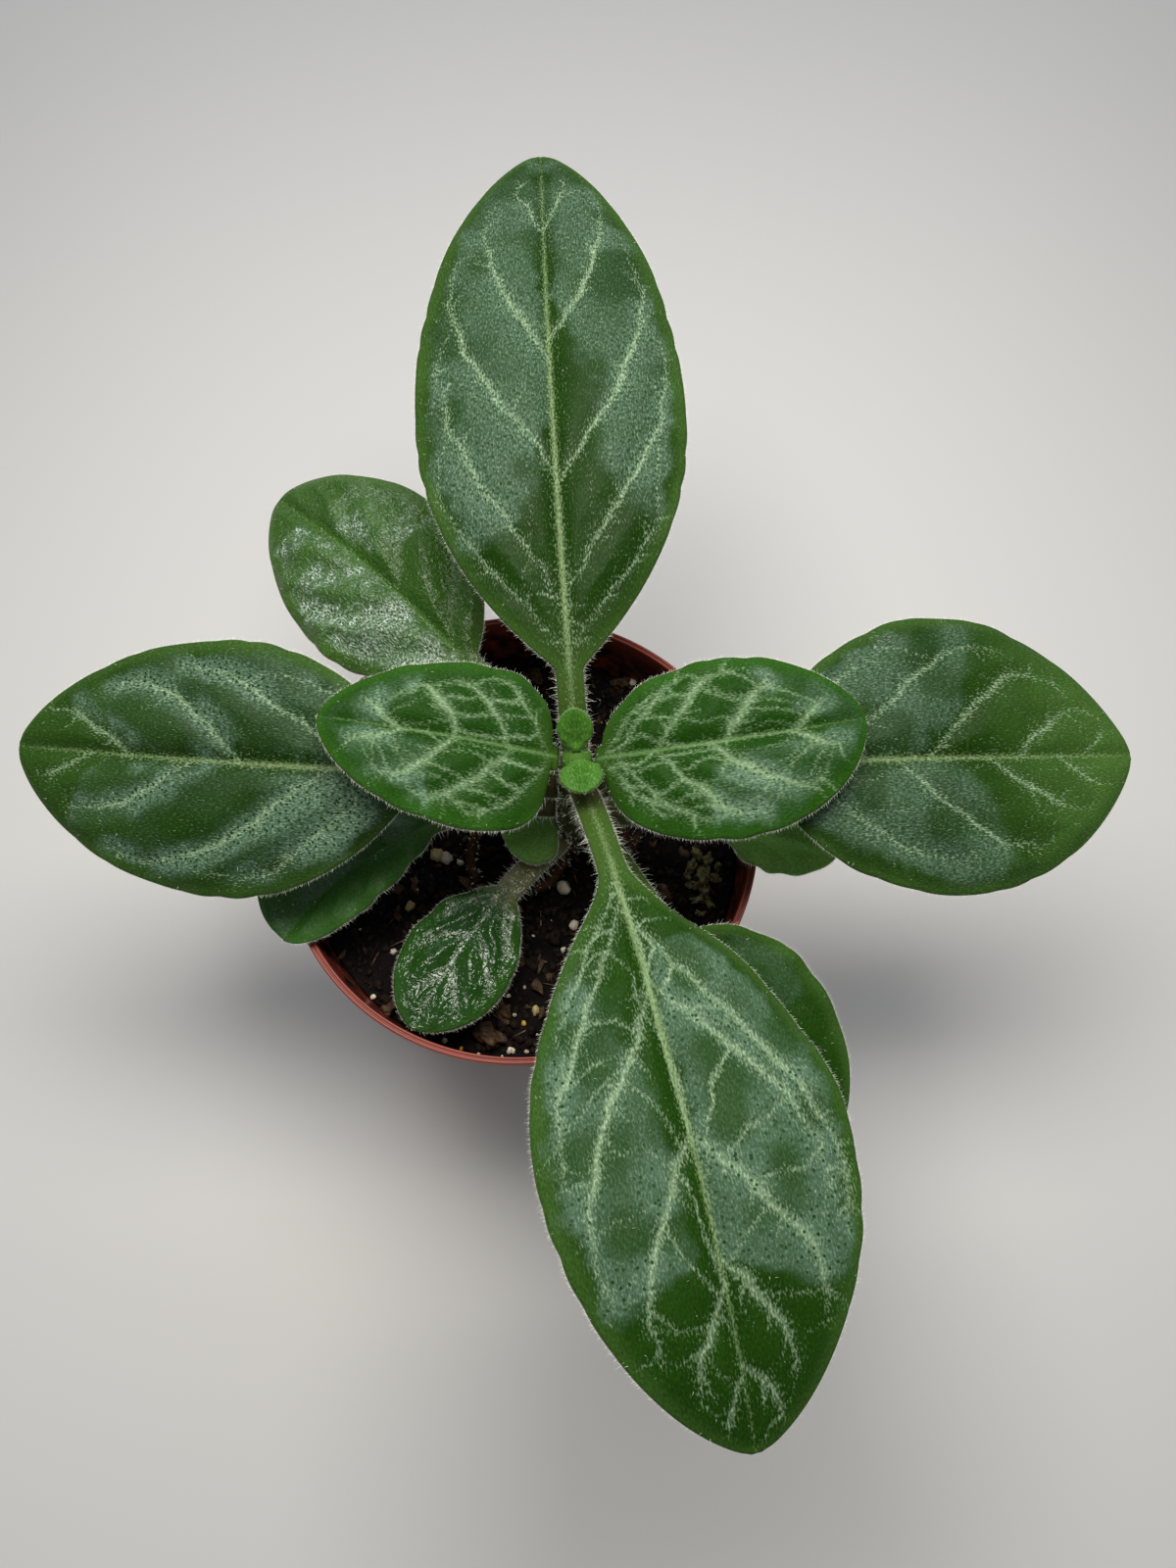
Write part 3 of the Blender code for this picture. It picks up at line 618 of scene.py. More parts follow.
strewn, given, result = new_tree("Strewn over a surface", Ground="Geometry", Shapes="Collection",
                                 Count_per_m2="Float", Smallest="Float", Largest="Float", Edge="Float",
                                 Tilt="Float", Seed="Int", Material="Material")
where = add_node(strewn, "GeometryNodeInputNamedAttribute", {"Name": "open_ground"}, data_type="FLOAT")
density = add_node(strewn, "ShaderNodeMath", {0: where, 1: given["Count per m2"]}, operation="MULTIPLY")
spots = add_node(strewn, "GeometryNodeDistributePointsOnFaces",
                 {"Mesh": given["Ground"], "Density": density, "Seed": given["Seed"]},
                 distribute_method="RANDOM")
shapes = add_node(strewn, "GeometryNodeCollectionInfo",
                  {"Collection": given["Shapes"], "Separate Children": True, "Reset Children": True})
chance = add_node(strewn, "FunctionNodeRandomValue", {"Seed": given["Seed"]}, data_type="FLOAT")
rare = add_node(strewn, "ShaderNodeMath", {0: chance, 1: RARITY}, operation="POWER")
free = add_node(strewn, "ShaderNodeMapRange",
                {"Value": rare, "To Min": given["Smallest"], "To Max": given["Largest"]})
here = add_node(strewn, "ShaderNodeSeparateXYZ", {0: add_node(strewn, "GeometryNodeInputPosition")})
level = add_node(strewn, "ShaderNodeCombineXYZ", {0: here.outputs["X"], 1: here.outputs["Y"]})
out = add_node(strewn, "ShaderNodeVectorMath", {0: level}, operation="LENGTH")
space = add_node(strewn, "ShaderNodeMath", {0: given["Edge"], 1: out}, operation="SUBTRACT")
least = add_node(strewn, "ShaderNodeMath", {0: space, 1: LEAST_LUMP * MM}, operation="MAXIMUM")
size = add_node(strewn, "ShaderNodeMath", {0: free, 1: least}, operation="MINIMUM")
lean_low = add_node(strewn, "ShaderNodeMath", {0: given["Tilt"], 1: -1.0}, operation="MULTIPLY")
lowest = add_node(strewn, "ShaderNodeCombineXYZ", {0: lean_low, 1: lean_low, 2: 0.0})
highest = add_node(strewn, "ShaderNodeCombineXYZ", {0: given["Tilt"], 1: given["Tilt"], 2: 2.0 * math.pi})
turn = add_node(strewn, "FunctionNodeRandomValue", {0: lowest, 1: highest, "Seed": given["Seed"]},
                data_type="FLOAT_VECTOR")
laid_down = add_node(strewn, "GeometryNodeInstanceOnPoints",
                     {"Points": spots, "Instance": shapes, "Pick Instance": True, "Rotation": turn,
                      "Scale": size})
end_tree(strewn, laid_down, given, result)

# %% Strew the peat
GROUND_INSET = 1.0
STEM_CLEAR = 6.0
LITTER = (
    # name, shapes, pieces in a square metre, smallest and largest radius in mm, tilt, seed, material
    ("peat_crumbs", crumb_shapes, 620000, 0.22, 1.6, 3.0, 11, crumb),
    ("bark_chips", chip_shapes, 22000, 0.9, 3.6, 0.7, 12, bark),
    ("perlite_dust", grain_shapes, 15000, 0.15, 0.45, 3.0, 13, perlite),
    ("dry_fibres", fibre_shapes, 42000, 1.0, 4.0, 0.35, 14, straw),
)

open_ground = np.zeros(len(peat_ground.data.vertices))
for number, corner in enumerate(peat_ground.data.vertices):
    x, y, z = corner.co / MM
    on_top = z > INNER_FOOT and math.hypot(x, y) < SOIL_REACH - GROUND_INSET
    open_ground[number] = on_top and math.hypot(x - STEM_X, y - STEM_Y) > STEM_CLEAR
mark(peat_ground.data, "open_ground", "FLOAT", open_ground)
for name, shapes, count, smallest, largest, tilt, seed, material in LITTER:
    litter = grow(name, peat_ground, strewn, Shapes=shapes, Count_per_m2=count, Smallest=smallest * MM,
                  Largest=largest * MM, Edge=MIDDLE_OF_WALL * MM, Tilt=tilt, Seed=seed, Material=material)
    settle(litter, "soil")

# %% [markdown]
# ### What the photograph shows one by one
#
# The larger grains, a few nuggets of bark and a tuft of dry moss are few and each one shows, so they are
# set one by one at the pixels where they lie. One that would reach into the pot's wall is drawn in from it.

# %% Set single pieces on the peat
LUMP_LEVEL = SOIL_LEVEL + 1.0
PERLITE_SPOTS = (
    # pixel across and down, radius in mm
    (455, 875, 1.6), (469, 879, 1.1), (415, 880, 0.5), (401, 970, 0.8), (575, 907, 2.0), (539, 927, 0.5),
    (586, 945, 1.2), (575, 968, 0.75), (524, 995, 0.6), (519, 1016, 0.6), (381, 1017, 0.8), (453, 1061, 0.7),
    (521, 1071, 0.95), (537, 1072, 0.6), (512, 1077, 0.4), (488, 1075, 0.4), (525, 1035, 0.5),
    (535, 1007, 0.45), (739, 946, 0.9), (656, 681, 0.9), (676, 728, 0.8), (520, 690, 0.9), (598, 700, 0.7),
)
AGED_PERLITE_SPOTS = ((445, 872, 1.7), (418, 924, 1.3), (547, 1031, 1.5))
NUGGET_SPOTS = (
    (498, 1055, 3.3), (514, 1034, 2.1), (392, 1035, 1.7), (640, 690, 2.2), (662, 700, 1.9), (545, 690, 1.9),
)
MOSS_SPOTS = (
    (712, 872, 1.6), (722, 880, 1.9), (706, 885, 1.5), (716, 893, 2.0), (728, 896, 1.4), (709, 902, 1.7),
    (719, 909, 1.8), (712, 918, 1.5), (724, 920, 1.3), (715, 930, 1.2), (733, 884, 1.2), (702, 894, 1.1),
)
MICA_SPOTS = ((534, 1043, 0.65), (470, 1069, 0.6))


def set_by_hand(name, spots, shapes, sunk, material, seed):
    """One piece of lumps that lie where the photograph shows them."""
    draw = random.Random(seed)
    shells = bmesh.new()
    for across, down, radius in spots:
        spot = on_level(across, down, LUMP_LEVEL)
        pull = min((MIDDLE_OF_WALL - radius) / math.hypot(spot.x, spot.y), 1.0)
        spot.x *= pull
        spot.y *= pull
        spot.z = soil_height(spot.x, spot.y) + radius * sunk
        shape = draw.choice(list(shapes.objects)).data.copy()
        spin = Matrix.Rotation(draw.uniform(0, 2 * math.pi), 4, "Z")
        tip = Matrix.Rotation(draw.uniform(-1, 1), 4, "X")
        shape.transform(Matrix.Translation(spot * MM) @ (spin @ tip) @ Matrix.Scale(radius * MM, 4))
        shells.from_mesh(shape)
        bpy.data.meshes.remove(shape)
    mesh = bpy.data.meshes.new(name)
    shells.to_mesh(mesh)
    shells.free()
    mesh.shade_smooth()
    mesh.materials.append(material)
    settle(show(name, mesh), "soil")


set_by_hand("perlite_grains", PERLITE_SPOTS, grain_shapes, 0.35, perlite, 21)
set_by_hand("aged_perlite_grains", AGED_PERLITE_SPOTS, grain_shapes, 0.35, aged_perlite, 22)
set_by_hand("bark_nuggets", NUGGET_SPOTS, nugget_shapes, 0.3, bark, 23)
set_by_hand("dry_moss", MOSS_SPOTS, nugget_shapes, 0.3, moss, 24)
set_by_hand("mica_grains", MICA_SPOTS, grain_shapes, 0.3, flake, 25)

# %% [markdown]
# ## The leaves' form
#
# Each leaf grows from the stem in a crossed pair. It is a middle line that climbs and then droops, with a
# frame of directions along it, an outline given by where it is widest and by how full its base and tip
# are, and a surface that folds up from the rib and curls down again at the edge. The same few numbers
# give the plain solids, so the fine leaves keep their form.

# %% Describe each leaf
STEM_TOP = 117.0


@dataclass
class Leaf:
    name: str
    foot: float             # height of its foot on the stem
    heading: float          # compass direction, degrees anticlockwise from +X
    bend: float             # how far the heading turns from foot to tip
    stalk: float            # lengths
    blade: float
    left: float             # half-widths
    right: float
    widest: float           # share of the blade's length
    base_power: float       # the lower, the fuller the base
    tip_power: float        # and the tip
    climb: tuple            # degrees at foot, middle of the stalk, base, middle and tip of the blade
    roll: float = 0.0       # degrees by which the whole blade leans to one side
    fold: float = 9.0       # degrees by which each half climbs from the rib
    curl: float = 14.0      # degrees by which it bends down again towards the margin
    slant: float = 0.85     # how far along the next vein a rung of the net ends
    channel: float = 0.55   # depth of the groove over the rib
    quilt: float = 0.9      # how high the blade swells between the side veins
    wave: float = 1.1       # height of the margin's waves
    waves: float = 4.0      # and their number
    left_veins: tuple = ()  # each leaves the rib, ends, and reaches out, as shares of the blade
    right_veins: tuple = ()
    veining: float = 1.0    # how clearly the side veins show
    net: float = 0.25       # how clearly the cross veins show
    rungs: float = 5.0      # and how far apart they are
    pucker: float = 0.12    # height of the small domes between them
    dome: float = 2.4       # and their size
    # The silver below is partly the leaf's own and partly painted sheen, where the blade would mirror the
    # light.
    left_silver: tuple = ()     # places along the blade, with the gap there between rib and silver
    right_silver: tuple = ()
    silvering: float = 1.0  # how far the silver hides the green
    sheen_banded: float = 0.25    # how far it keeps to the veins
    ragged: float = 0.0     # how far it breaks up beyond the blade's base
    # painted light: how much lighter its tip is painted
    tip_painted_light: float = 0.0   # how much fresher its tip is
    skin: str = "silvered"


BUD_VEINS = ((0.1, 0.5, 0.7), (0.4, 0.8, 0.6))
LOW_LEFT_VEINS = ((0.06, 0.44, 0.8), (0.32, 0.68, 0.76), (0.58, 0.86, 0.7))
LOW_RIGHT_VEINS = ((0.04, 0.40, 0.8), (0.28, 0.66, 0.78), (0.54, 0.84, 0.7))
LEAVES = (
    Leaf("leaf_bud_back", 117.6, 95, 0, 1, 7.5, 3.1, 3.1, 0.5, 0.5, 0.5, (75, 66, 54, 46, 40),
         quilt=0.2, wave=0.1, fold=16, veining=0.4, net=0.0, skin="bud",
         left_veins=BUD_VEINS, right_veins=BUD_VEINS),
    Leaf("leaf_bud_front", 117.6, -80, 0, 1.2, 7.2, 3.8, 3.8, 0.5, 0.5, 0.5, (70, 52, 30, 16, 2),
         quilt=0.2, wave=0.1, fold=12, veining=0.5, net=0.0, skin="bud",
         left_veins=BUD_VEINS, right_veins=BUD_VEINS),
    Leaf("leaf_upper_left", 116, 178, -9, 1.5, 44.5, 16.5, 15.5, 0.3, 0.26, 0.64, (45, 38, 28, 8, -7),
         roll=3, wave=0.7, net=1.0, rungs=3.6, pucker=0.2, silvering=0.8, sheen_banded=0.85, skin="young",
         left_silver=((0.42, 30), (0.52, 5), (0.7, 1), (1, 0)),
         right_silver=((0.5, 30), (0.62, 5), (0.75, 1), (1, 0)),
         left_veins=((0.02, 0.28, 0.80), (0.16, 0.53, 0.79), (0.42, 0.70, 0.66), (0.64, 0.84, 0.5)),
         right_veins=((0.03, 0.27, 0.83), (0.18, 0.46, 0.74), (0.41, 0.62, 0.68), (0.66, 0.82, 0.5))),
    Leaf("leaf_upper_right", 116, -3, 18, 1.5, 50, 15.8, 17.8, 0.48, 0.38, 0.6, (45, 38, 26, 6, -7),
         roll=-10, wave=0.8, net=1.0, rungs=3.6, pucker=0.2, silvering=0.8, sheen_banded=0.85, skin="young",
         left_silver=((0.5, 30), (0.66, 6), (0.8, 2), (1, 0)),
         right_silver=((0.3, 30), (0.42, 6), (0.6, 2), (1, 0)),
         left_veins=((0.02, 0.16, 0.7), (0.08, 0.34, 0.80), (0.22, 0.50, 0.80), (0.46, 0.68, 0.70),
                     (0.74, 0.88, 0.66)),
         right_veins=((0.01, 0.18, 0.68), (0.06, 0.39, 0.80), (0.21, 0.57, 0.80), (0.41, 0.80, 0.70),
                      (0.72, 0.90, 0.5))),
    Leaf("leaf_back", 110, 95, -3, 16, 118, 26.6, 25.9, 0.42, 0.86, 0.67, (54, 41, 25, 9, -10),
         quilt=0.75, net=0.5, rungs=9.0, silvering=0.75, skin="speckled",
         left_silver=((0.12, 30), (0.25, 8), (0.35, 3), (0.4, 0), (1, 0)),
         right_silver=((0.15, 30), (0.35, 8), (0.5, 8), (0.6, 4), (0.65, 0), (1, 0)),
         left_veins=((0.03, 0.30, 0.90), (0.09, 0.55, 0.84), (0.33, 0.73, 0.84), (0.53, 0.83, 0.74),
                     (0.79, 0.92, 0.6)),
         right_veins=((0.03, 0.26, 0.86), (0.11, 0.55, 0.90), (0.31, 0.71, 0.84), (0.56, 0.88, 0.88),
                      (0.80, 0.93, 0.6))),
    Leaf("leaf_front", 110, -73.7, -6.5, 20, 97.3, 25.8, 24.3, 0.54, 1.3, 0.69, (42, 27, 16, 12, -23),
         roll=6, quilt=0.8, veining=1.0, net=1.25, rungs=10.0, slant=0.35,
         left_silver=((0.15, 30), (0.2, 3), (0.3, 0), (0.72, 0), (0.86, 30)),
         right_silver=((0.13, 30), (0.2, 12), (0.3, 6), (0.4, 5), (0.72, 5), (0.84, 30)),
         left_veins=((0.10, 0.73, 0.92), (0.25, 0.66, 0.78), (0.53, 0.84, 0.88), (0.72, 0.90, 0.76),
                     (0.87, 0.96, 0.7)),
         right_veins=((0.04, 0.32, 0.86), (0.08, 0.58, 0.86), (0.28, 0.76, 0.82), (0.53, 0.84, 0.74),
                      (0.76, 0.90, 0.65), (0.89, 0.96, 0.6))),
    Leaf("leaf_left", 103, 184, -15, 27, 81.3, 25.7, 23.4, 0.45, 0.82, 0.66, (30, 22, 7, -3, -13),
         roll=20, quilt=1.1, net=0.35, rungs=9.0, sheen_banded=0.9, tip_painted_light=0.35, skin="speckled",
         left_silver=((0, 0), (0.6, 1), (0.8, 3), (0.92, 30)),
         right_silver=((0, 1), (0.7, 2), (0.85, 8), (0.92, 30)),
         left_veins=((0.08, 0.42, 0.86), (0.20, 0.74, 0.88), (0.54, 0.85, 0.72), (0.80, 0.93, 0.6)),
         right_veins=((0.02, 0.28, 0.80), (0.15, 0.58, 0.78), (0.42, 0.76, 0.74), (0.69, 0.92, 0.84))),
    Leaf("leaf_right", 103, -2, 8, 33, 73.2, 29, 25.7, 0.5, 0.66, 0.72, (30, 22, 8, -6, -11),
         roll=-9, quilt=1.0, veining=0.85, net=0.6, rungs=9.0, silvering=0.65, tip_painted_light=0.9, skin="speckled",
         left_silver=((0, 1), (0.4, 1), (0.5, 6), (0.62, 30)),
         right_silver=((0, 0), (0.5, 1), (0.57, 6), (0.68, 30)),
         left_veins=((0.04, 0.34, 0.82), (0.17, 0.66, 0.80), (0.43, 0.82, 0.74), (0.67, 0.88, 0.7),
                     (0.86, 0.95, 0.6)),
         right_veins=((0.06, 0.48, 0.76), (0.34, 0.74, 0.76), (0.59, 0.85, 0.72), (0.79, 0.92, 0.65))),
    Leaf("leaf_back_left", 97, 129, 10, 31, 62.8, 20, 19.7, 0.44, 0.76, 0.6, (22, 13, 4, -2, -16),
         roll=15, quilt=1.6, wave=1.0, veining=0.12, net=0.0, pucker=0.5, dome=3.0, silvering=1.3, sheen_banded=0.9,
         ragged=0.8, skin="puckered",
         left_silver=((0, 0), (0.6, 0), (0.84, 2), (0.92, 30)),
         right_silver=((0.4, 30), (0.5, 3), (0.75, 2), (0.85, 30)),
         left_veins=((0.04, 0.42, 0.84), (0.24, 0.66, 0.80), (0.48, 0.82, 0.76), (0.72, 0.90, 0.6)),
         right_veins=((0.08, 0.46, 0.82), (0.34, 0.70, 0.78), (0.58, 0.84, 0.72), (0.78, 0.92, 0.6))),
    Leaf("leaf_front_right", 97, -63.5, 20, 32, 46.5, 17.5, 14, 0.43, 0.55, 0.6, (20, 10, 0, -8, -16),
         veining=0.15, net=0.0, pucker=0.3, silvering=0.28, left_silver=((0, 7), (0.5, 9), (0.6, 30)),
         left_veins=LOW_LEFT_VEINS, right_veins=LOW_RIGHT_VEINS),
    Leaf("leaf_low_left", 90, 179, 56, 26, 38, 7.8, 17, 0.56, 0.6, 0.5, (14, 7, -4, -7, -7),
         veining=0.2, net=0.0, silvering=0.6, right_silver=((0, 0), (1, 0)), skin="shaded",
         left_veins=LOW_LEFT_VEINS, right_veins=LOW_RIGHT_VEINS),
    Leaf("leaf_low_right", 90, -8, -5, 26, 24, 12, 7.5, 0.47, 0.62, 0.64, (14, 6, -2, -6, -10),
         veining=0.15, net=0.0, skin="old_painted_light",
         left_veins=((0.06, 0.48, 0.8), (0.40, 0.78, 0.7)),
         right_veins=((0.08, 0.50, 0.8), (0.44, 0.80, 0.7))),
    Leaf("leaf_low_front", 82, 226, 17, 17, 33.8, 11.9, 10.7, 0.54, 0.66, 0.6, (10, 8, 6, 0, -8),
         channel=0.0, quilt=2.0, wave=0.7, veining=0.0, net=0.0, pucker=0.45, dome=2.2, skin="glossy",
         left_veins=((0.05, 0.44, 0.8), (0.30, 0.66, 0.78), (0.55, 0.84, 0.7)),
         right_veins=((0.08, 0.48, 0.8), (0.34, 0.70, 0.78), (0.60, 0.86, 0.7))),
    Leaf("leaf_small_front", 86.5, 202, 5, 0.5, 11, 7, 7.5, 0.42, 0.45, 0.5, (10, 8, 3, 0, -5),
         quilt=0.4, wave=0.2, veining=0.3, net=0.0, skin="old_painted_light",
         left_veins=BUD_VEINS, right_veins=BUD_VEINS),
)
print("leaves:", len(LEAVES))

# %% [markdown]
# ## The stem
#
# The stem is short, brown and hairy, and swells a little where a pair of leaves joins it. The dry stalks
# of lost leaves curl round its foot. Both are tubes through a row of centres, and a slow noise makes
# the dry ones look shrunken.

# %% Work out the stem's radius
STEM_FOOT_RADIUS = 4.6
STEM_TOP_RADIUS = 2.6
NODE_SWELL = 0.45
NODE_SPREAD = 1.4
NODE_BELOW = 1.5
STEM_SUNK = 10.0


def stem_radius(height):
    """A taper that swells a little at each pair of leaves."""
    share = min(max((height - SOIL_LEVEL) / (STEM_TOP - SOIL_LEVEL), 0.0), 1.0)
    radius = STEM_FOOT_RADIUS + (STEM_TOP_RADIUS - STEM_FOOT_RADIUS) * share
    for node in sorted({leaf.foot for leaf in LEAVES if leaf.foot < STEM_TOP}):
        radius += NODE_SWELL * math.exp(-(((height - node + NODE_BELOW) / NODE_SPREAD) ** 2))
    return min(radius, STEM_FOOT_RADIUS)


print("radius at the peat and at the top:", stem_radius(SOIL_LEVEL), stem_radius(STEM_TOP))


# %% Tubes
END_BULGE = 0.3
CREASE_ALONG = 0.35
CREASE_ROUND = 1.4


def tube(name, centres, radii, sides, wrinkle):
    """A closed tube through the centres with rounded ends, wrinkled by a share of its radius."""
    centres = np.asarray(centres, float)
    ahead = np.gradient(centres, axis=0)
    ahead /= np.linalg.norm(ahead, axis=1)[:, None]
    guide = np.array((0.0, 0.0, 1.0)) if abs(ahead[0, 2]) < 0.8 else np.array((1.0, 0.0, 0.0))
    across = np.cross(ahead, guide)
    across /= np.linalg.norm(across, axis=1)[:, None]
    beside = np.cross(ahead, across)
    points = []
    for centre, out, over, radius in zip(centres, across, beside, radii):
        for turn in np.linspace(0.0, 2.0 * math.pi, sides, endpoint=False):
            way = math.cos(turn) * out + math.sin(turn) * over
            spot = Vector(centre * CREASE_ALONG + way * CREASE_ROUND)
            points.append(centre + radius * (1.0 + wrinkle * noise.fractal(spot, *LUMPINESS)) * way)
    points.append(centres[0] - ahead[0] * radii[0] * END_BULGE)
    points.append(centres[-1] + ahead[-1] * radii[-1] * END_BULGE)
    return add_object(name, points, ring_faces(len(centres), sides))


STEM_RINGS = 110
STEM_SIDES = 40
STEM_WRINKLE = 0.07
STUB_RINGS = 40
STUB_SIDES = 14
STUB_WRINKLE = 0.45
STUB_FOOT_RADIUS = 1.5
STUB_TIP_RADIUS = 1.0
STUB_SAG = 0.6
STUB_HOOK = 3
STUBS = (
    # height, heading, length, droop and curl of each dry stalk
    (80.5, 172, 22, -12, 36),
    (80.5, -5, 9.5, -6, -45),
    (79.0, 205, 15, -8, 25),
    (80.5, 155, 14, -4, -40),
    (79.0, 246, 14, -6, -15),
    (79.5, 300, 10, -4, 50),
    (80.0, 60, 10, -4, -30),
)

heights = np.linspace(SOIL_LEVEL - STEM_SUNK, STEM_TOP, STEM_RINGS)
centres = [(STEM_X, STEM_Y, height) for height in heights]
stem = tube("stem_bark", centres, [stem_radius(height) for height in heights], STEM_SIDES, STEM_WRINKLE)
stalks = []
for number, (height, heading, length, droop, curl) in enumerate(STUBS):
    shares = np.linspace(0.0, 1.0, STUB_RINGS)
    turns = np.radians(heading + curl * shares ** STUB_HOOK)
    reach = STEM_TOP_RADIUS + length * np.sin(shares * math.pi / 2)
    drop = math.tan(math.radians(droop)) * length * shares ** 2 - STUB_SAG * np.sin(math.pi * shares)
    x, y = STEM_X + reach * np.cos(turns), STEM_Y + reach * np.sin(turns)
    centres = np.stack([x, y, height + drop], axis=1)
    radii = STUB_FOOT_RADIUS + (STUB_TIP_RADIUS - STUB_FOOT_RADIUS) * shares
    stalks.append(tube(f"dry_stalk_{number}", centres, radii, STUB_SIDES, STUB_WRINKLE))
print("dry stalks:", len(stalks))

# %% [markdown]
# ### Its finish
#
# The skin of the old stem is brown bark under white down. Its top, between the youngest leaves, is still
# green. The dead stalks have dried to a reddish brown, matt and finely ribbed.

# %% Stem bark and dry stalks
GREEN_FROM = 111.0

stem_bark = earthy("young_stem_bark", "#2e2a16", "#5a5c34", 3.0, 0.6, 0.8, 0.15)
tree = stem_bark.node_tree
shader = tree.nodes["Principled BSDF"]
brown = shader.inputs["Base Color"].links[0].from_socket
parts = add_node(tree, "ShaderNodeSeparateXYZ", {0: add_node(tree, "ShaderNodeTexCoord").outputs["Object"]})
young = add_node(tree, "ShaderNodeMapRange",
                 {"Value": parts.outputs["Z"], "From Min": GREEN_FROM * MM, "From Max": STEM_TOP * MM})
greened = add_node(tree, "ShaderNodeMix", {0: young, 6: brown, 7: linear("#456b26")}, data_type="RGBA")
plug(tree, shader, {"Base Color": greened})
dry_stalk = earthy("dried_leaf_stalk", "#1f120d", "#54341f", 2.5, 0.75, 0.7, 0.2)
stem.data.materials.append(stem_bark)
for stalk in stalks:
    stalk.data.materials.append(dry_stalk)
print(stem_bark.name, dry_stalk.name)

# %% [markdown]
# ## The veins
#
# Pale veins are the plant's mark. Near the blade's base a side vein leaves the rib, runs out and bends
# forward until it follows the margin, so a quarter of a sine wave describes it. Towards the tip they run
# straighter. Between them runs a finer net: rungs that join neighbouring side veins, loops that join
# their ends, and short spurs. The net is drawn at random from a seed, for each leaf its own. Everything
# is laid out on the flat blade, in millimetres along the rib and away from it, before the blade is bent.

# %% The flat blade
STALK_HALF_WIDTH = 2.4
TIP_HALF_WIDTH = 0.8
SLIM_LEAF = 10.0
NOTCH_SPACING = 7.5
NOTCH_DEPTH = 0.4
NOTCH_MEAN = 0.64
NOTCH_DRIFT = 0.43


def outline(leaf, place):
    """The blade's half-width as a share of its widest, at a share of the blade's length."""
    rising = np.clip(place / leaf.widest, 0.0, 1.0)
    falling = np.clip((1.0 - place) / (1.0 - leaf.widest), 0.0, 1.0)
    base = (1.0 - (1.0 - rising) ** 2) ** leaf.base_power
    tip = (1.0 - (1.0 - falling) ** 2) ** leaf.tip_power
    return np.where(place < leaf.widest, base, tip)


def half_width(leaf, place, share, on_stalk=False):
    """The distance from the rib to the margin on the side of the given share, in millimetres."""
    slimness = min(leaf.left / SLIM_LEAF, 1.0)
    stalk = STALK_HALF_WIDTH * slimness
    narrow = stalk + (TIP_HALF_WIDTH - stalk) * place
    filled = np.where(on_stalk, 0.0, outline(leaf, place))
    on_left = np.asarray(share) < 0.0
    spread = np.where(on_left, leaf.left, leaf.right) * filled
    turn = math.pi * place * leaf.blade / (NOTCH_SPACING * slimness) + np.where(on_left, 0.0, 1.0)
    uneven = 0.5 + 0.5 * np.sin(NOTCH_DRIFT * turn + leaf.heading)
    notched = NOTCH_DEPTH * slimness * uneven * (np.abs(np.sin(turn)) - NOTCH_MEAN) * filled ** 2
    return (narrow ** 3 + spread ** 3) ** (1 / 3) + notched


print("widest half of the back leaf:", half_width(LEAVES[4], 0.42, 1.0))

# %% Lay out the veins
VEIN_STEPS = 14
BASAL = 0.09                # a vein that starts nearer the base than this bends out sooner
BASAL_POWER = 0.7
STRAIGHT_FROM = (0.4, 0.65)
STRAIGHT_REACH = 0.85
PALE_ALONG = ((0.0, 0.15, 0.55, 1.0), (0.65, 0.85, 1.0, 0.4))
PALE_ON_BLADE = ((0.0, 0.4, 0.75, 1.0), (0.4, 1.0, 1.0, 0.6))
TIP_FADE = 0.6
VEIN_WIDTH = 0.37
NET_WIDTH = 0.3
RUNG_WAVER = 0.7
LOOP_WAVER = 0.8
LOOP_END = 0.7              # how far along the next vein a loop meets it
SPUR_WAVER = 0.5
SPUR_SPACING = 4.5
SPUR_LENGTH = (2.0, 6.0)
SPUR_ANGLE = (35.0, 65.0)


@dataclass
class Vein:
    points: np.ndarray      # along the rib and away from it, in millimetres
    pale: np.ndarray        # how clearly it shows at each point
    width: float
    main: bool = False


def side_vein(leaf, side, start, end, reach):
    """One main side vein, from the rib towards the margin."""
    run = np.linspace(0.0, 1.0, VEIN_STEPS)
    place = start + (end - start) * run
    arched = np.sin(run * math.pi / 2) ** (BASAL_POWER if start < BASAL else 1.0)
    straight = np.interp(start, STRAIGHT_FROM, (0.0, 1.0))
    share = reach * (arched + straight * (STRAIGHT_REACH * run - arched))
    points = np.stack([place * leaf.blade, side * share * half_width(leaf, place, side)], axis=1)
    pale = leaf.veining * np.interp(run, *PALE_ALONG)
    pale *= np.interp(place, *PALE_ON_BLADE)
    return Vein(points, pale, VEIN_WIDTH, True)


def wavering(start, end, draw, waver):
    """A short line between two points that wavers off its middle."""
    middle = (start + end) / 2 + np.array([draw.gauss(0, waver), draw.gauss(0, waver)])
    return np.stack([start, (start + middle) / 2, middle, (middle + end) / 2, end])


def spurs(leaf, vein, draw):
    """Short veins that leave a side vein to either side and end in the open."""
    grown = []
    length = np.linalg.norm(np.diff(vein.points, axis=0), axis=1).sum()
    for number in range(int(length / SPUR_SPACING)):
        share = (number + draw.uniform(0.5, 1.0)) * SPUR_SPACING / length
        at = min(int(share * VEIN_STEPS), VEIN_STEPS - 2)
        ahead = vein.points[at + 1] - vein.points[at]
        turn = math.atan2(ahead[1], ahead[0])
        turn += draw.choice((-1, 1)) * math.radians(draw.uniform(*SPUR_ANGLE))
        reach = draw.uniform(*SPUR_LENGTH)
        end = vein.points[at] + reach * np.array([math.cos(turn), math.sin(turn)])
        line = wavering(vein.points[at], end, draw, SPUR_WAVER)
        grown.append(Vein(line, leaf.veining * np.linspace(0.8, 0.25, 5), NET_WIDTH))
    return grown


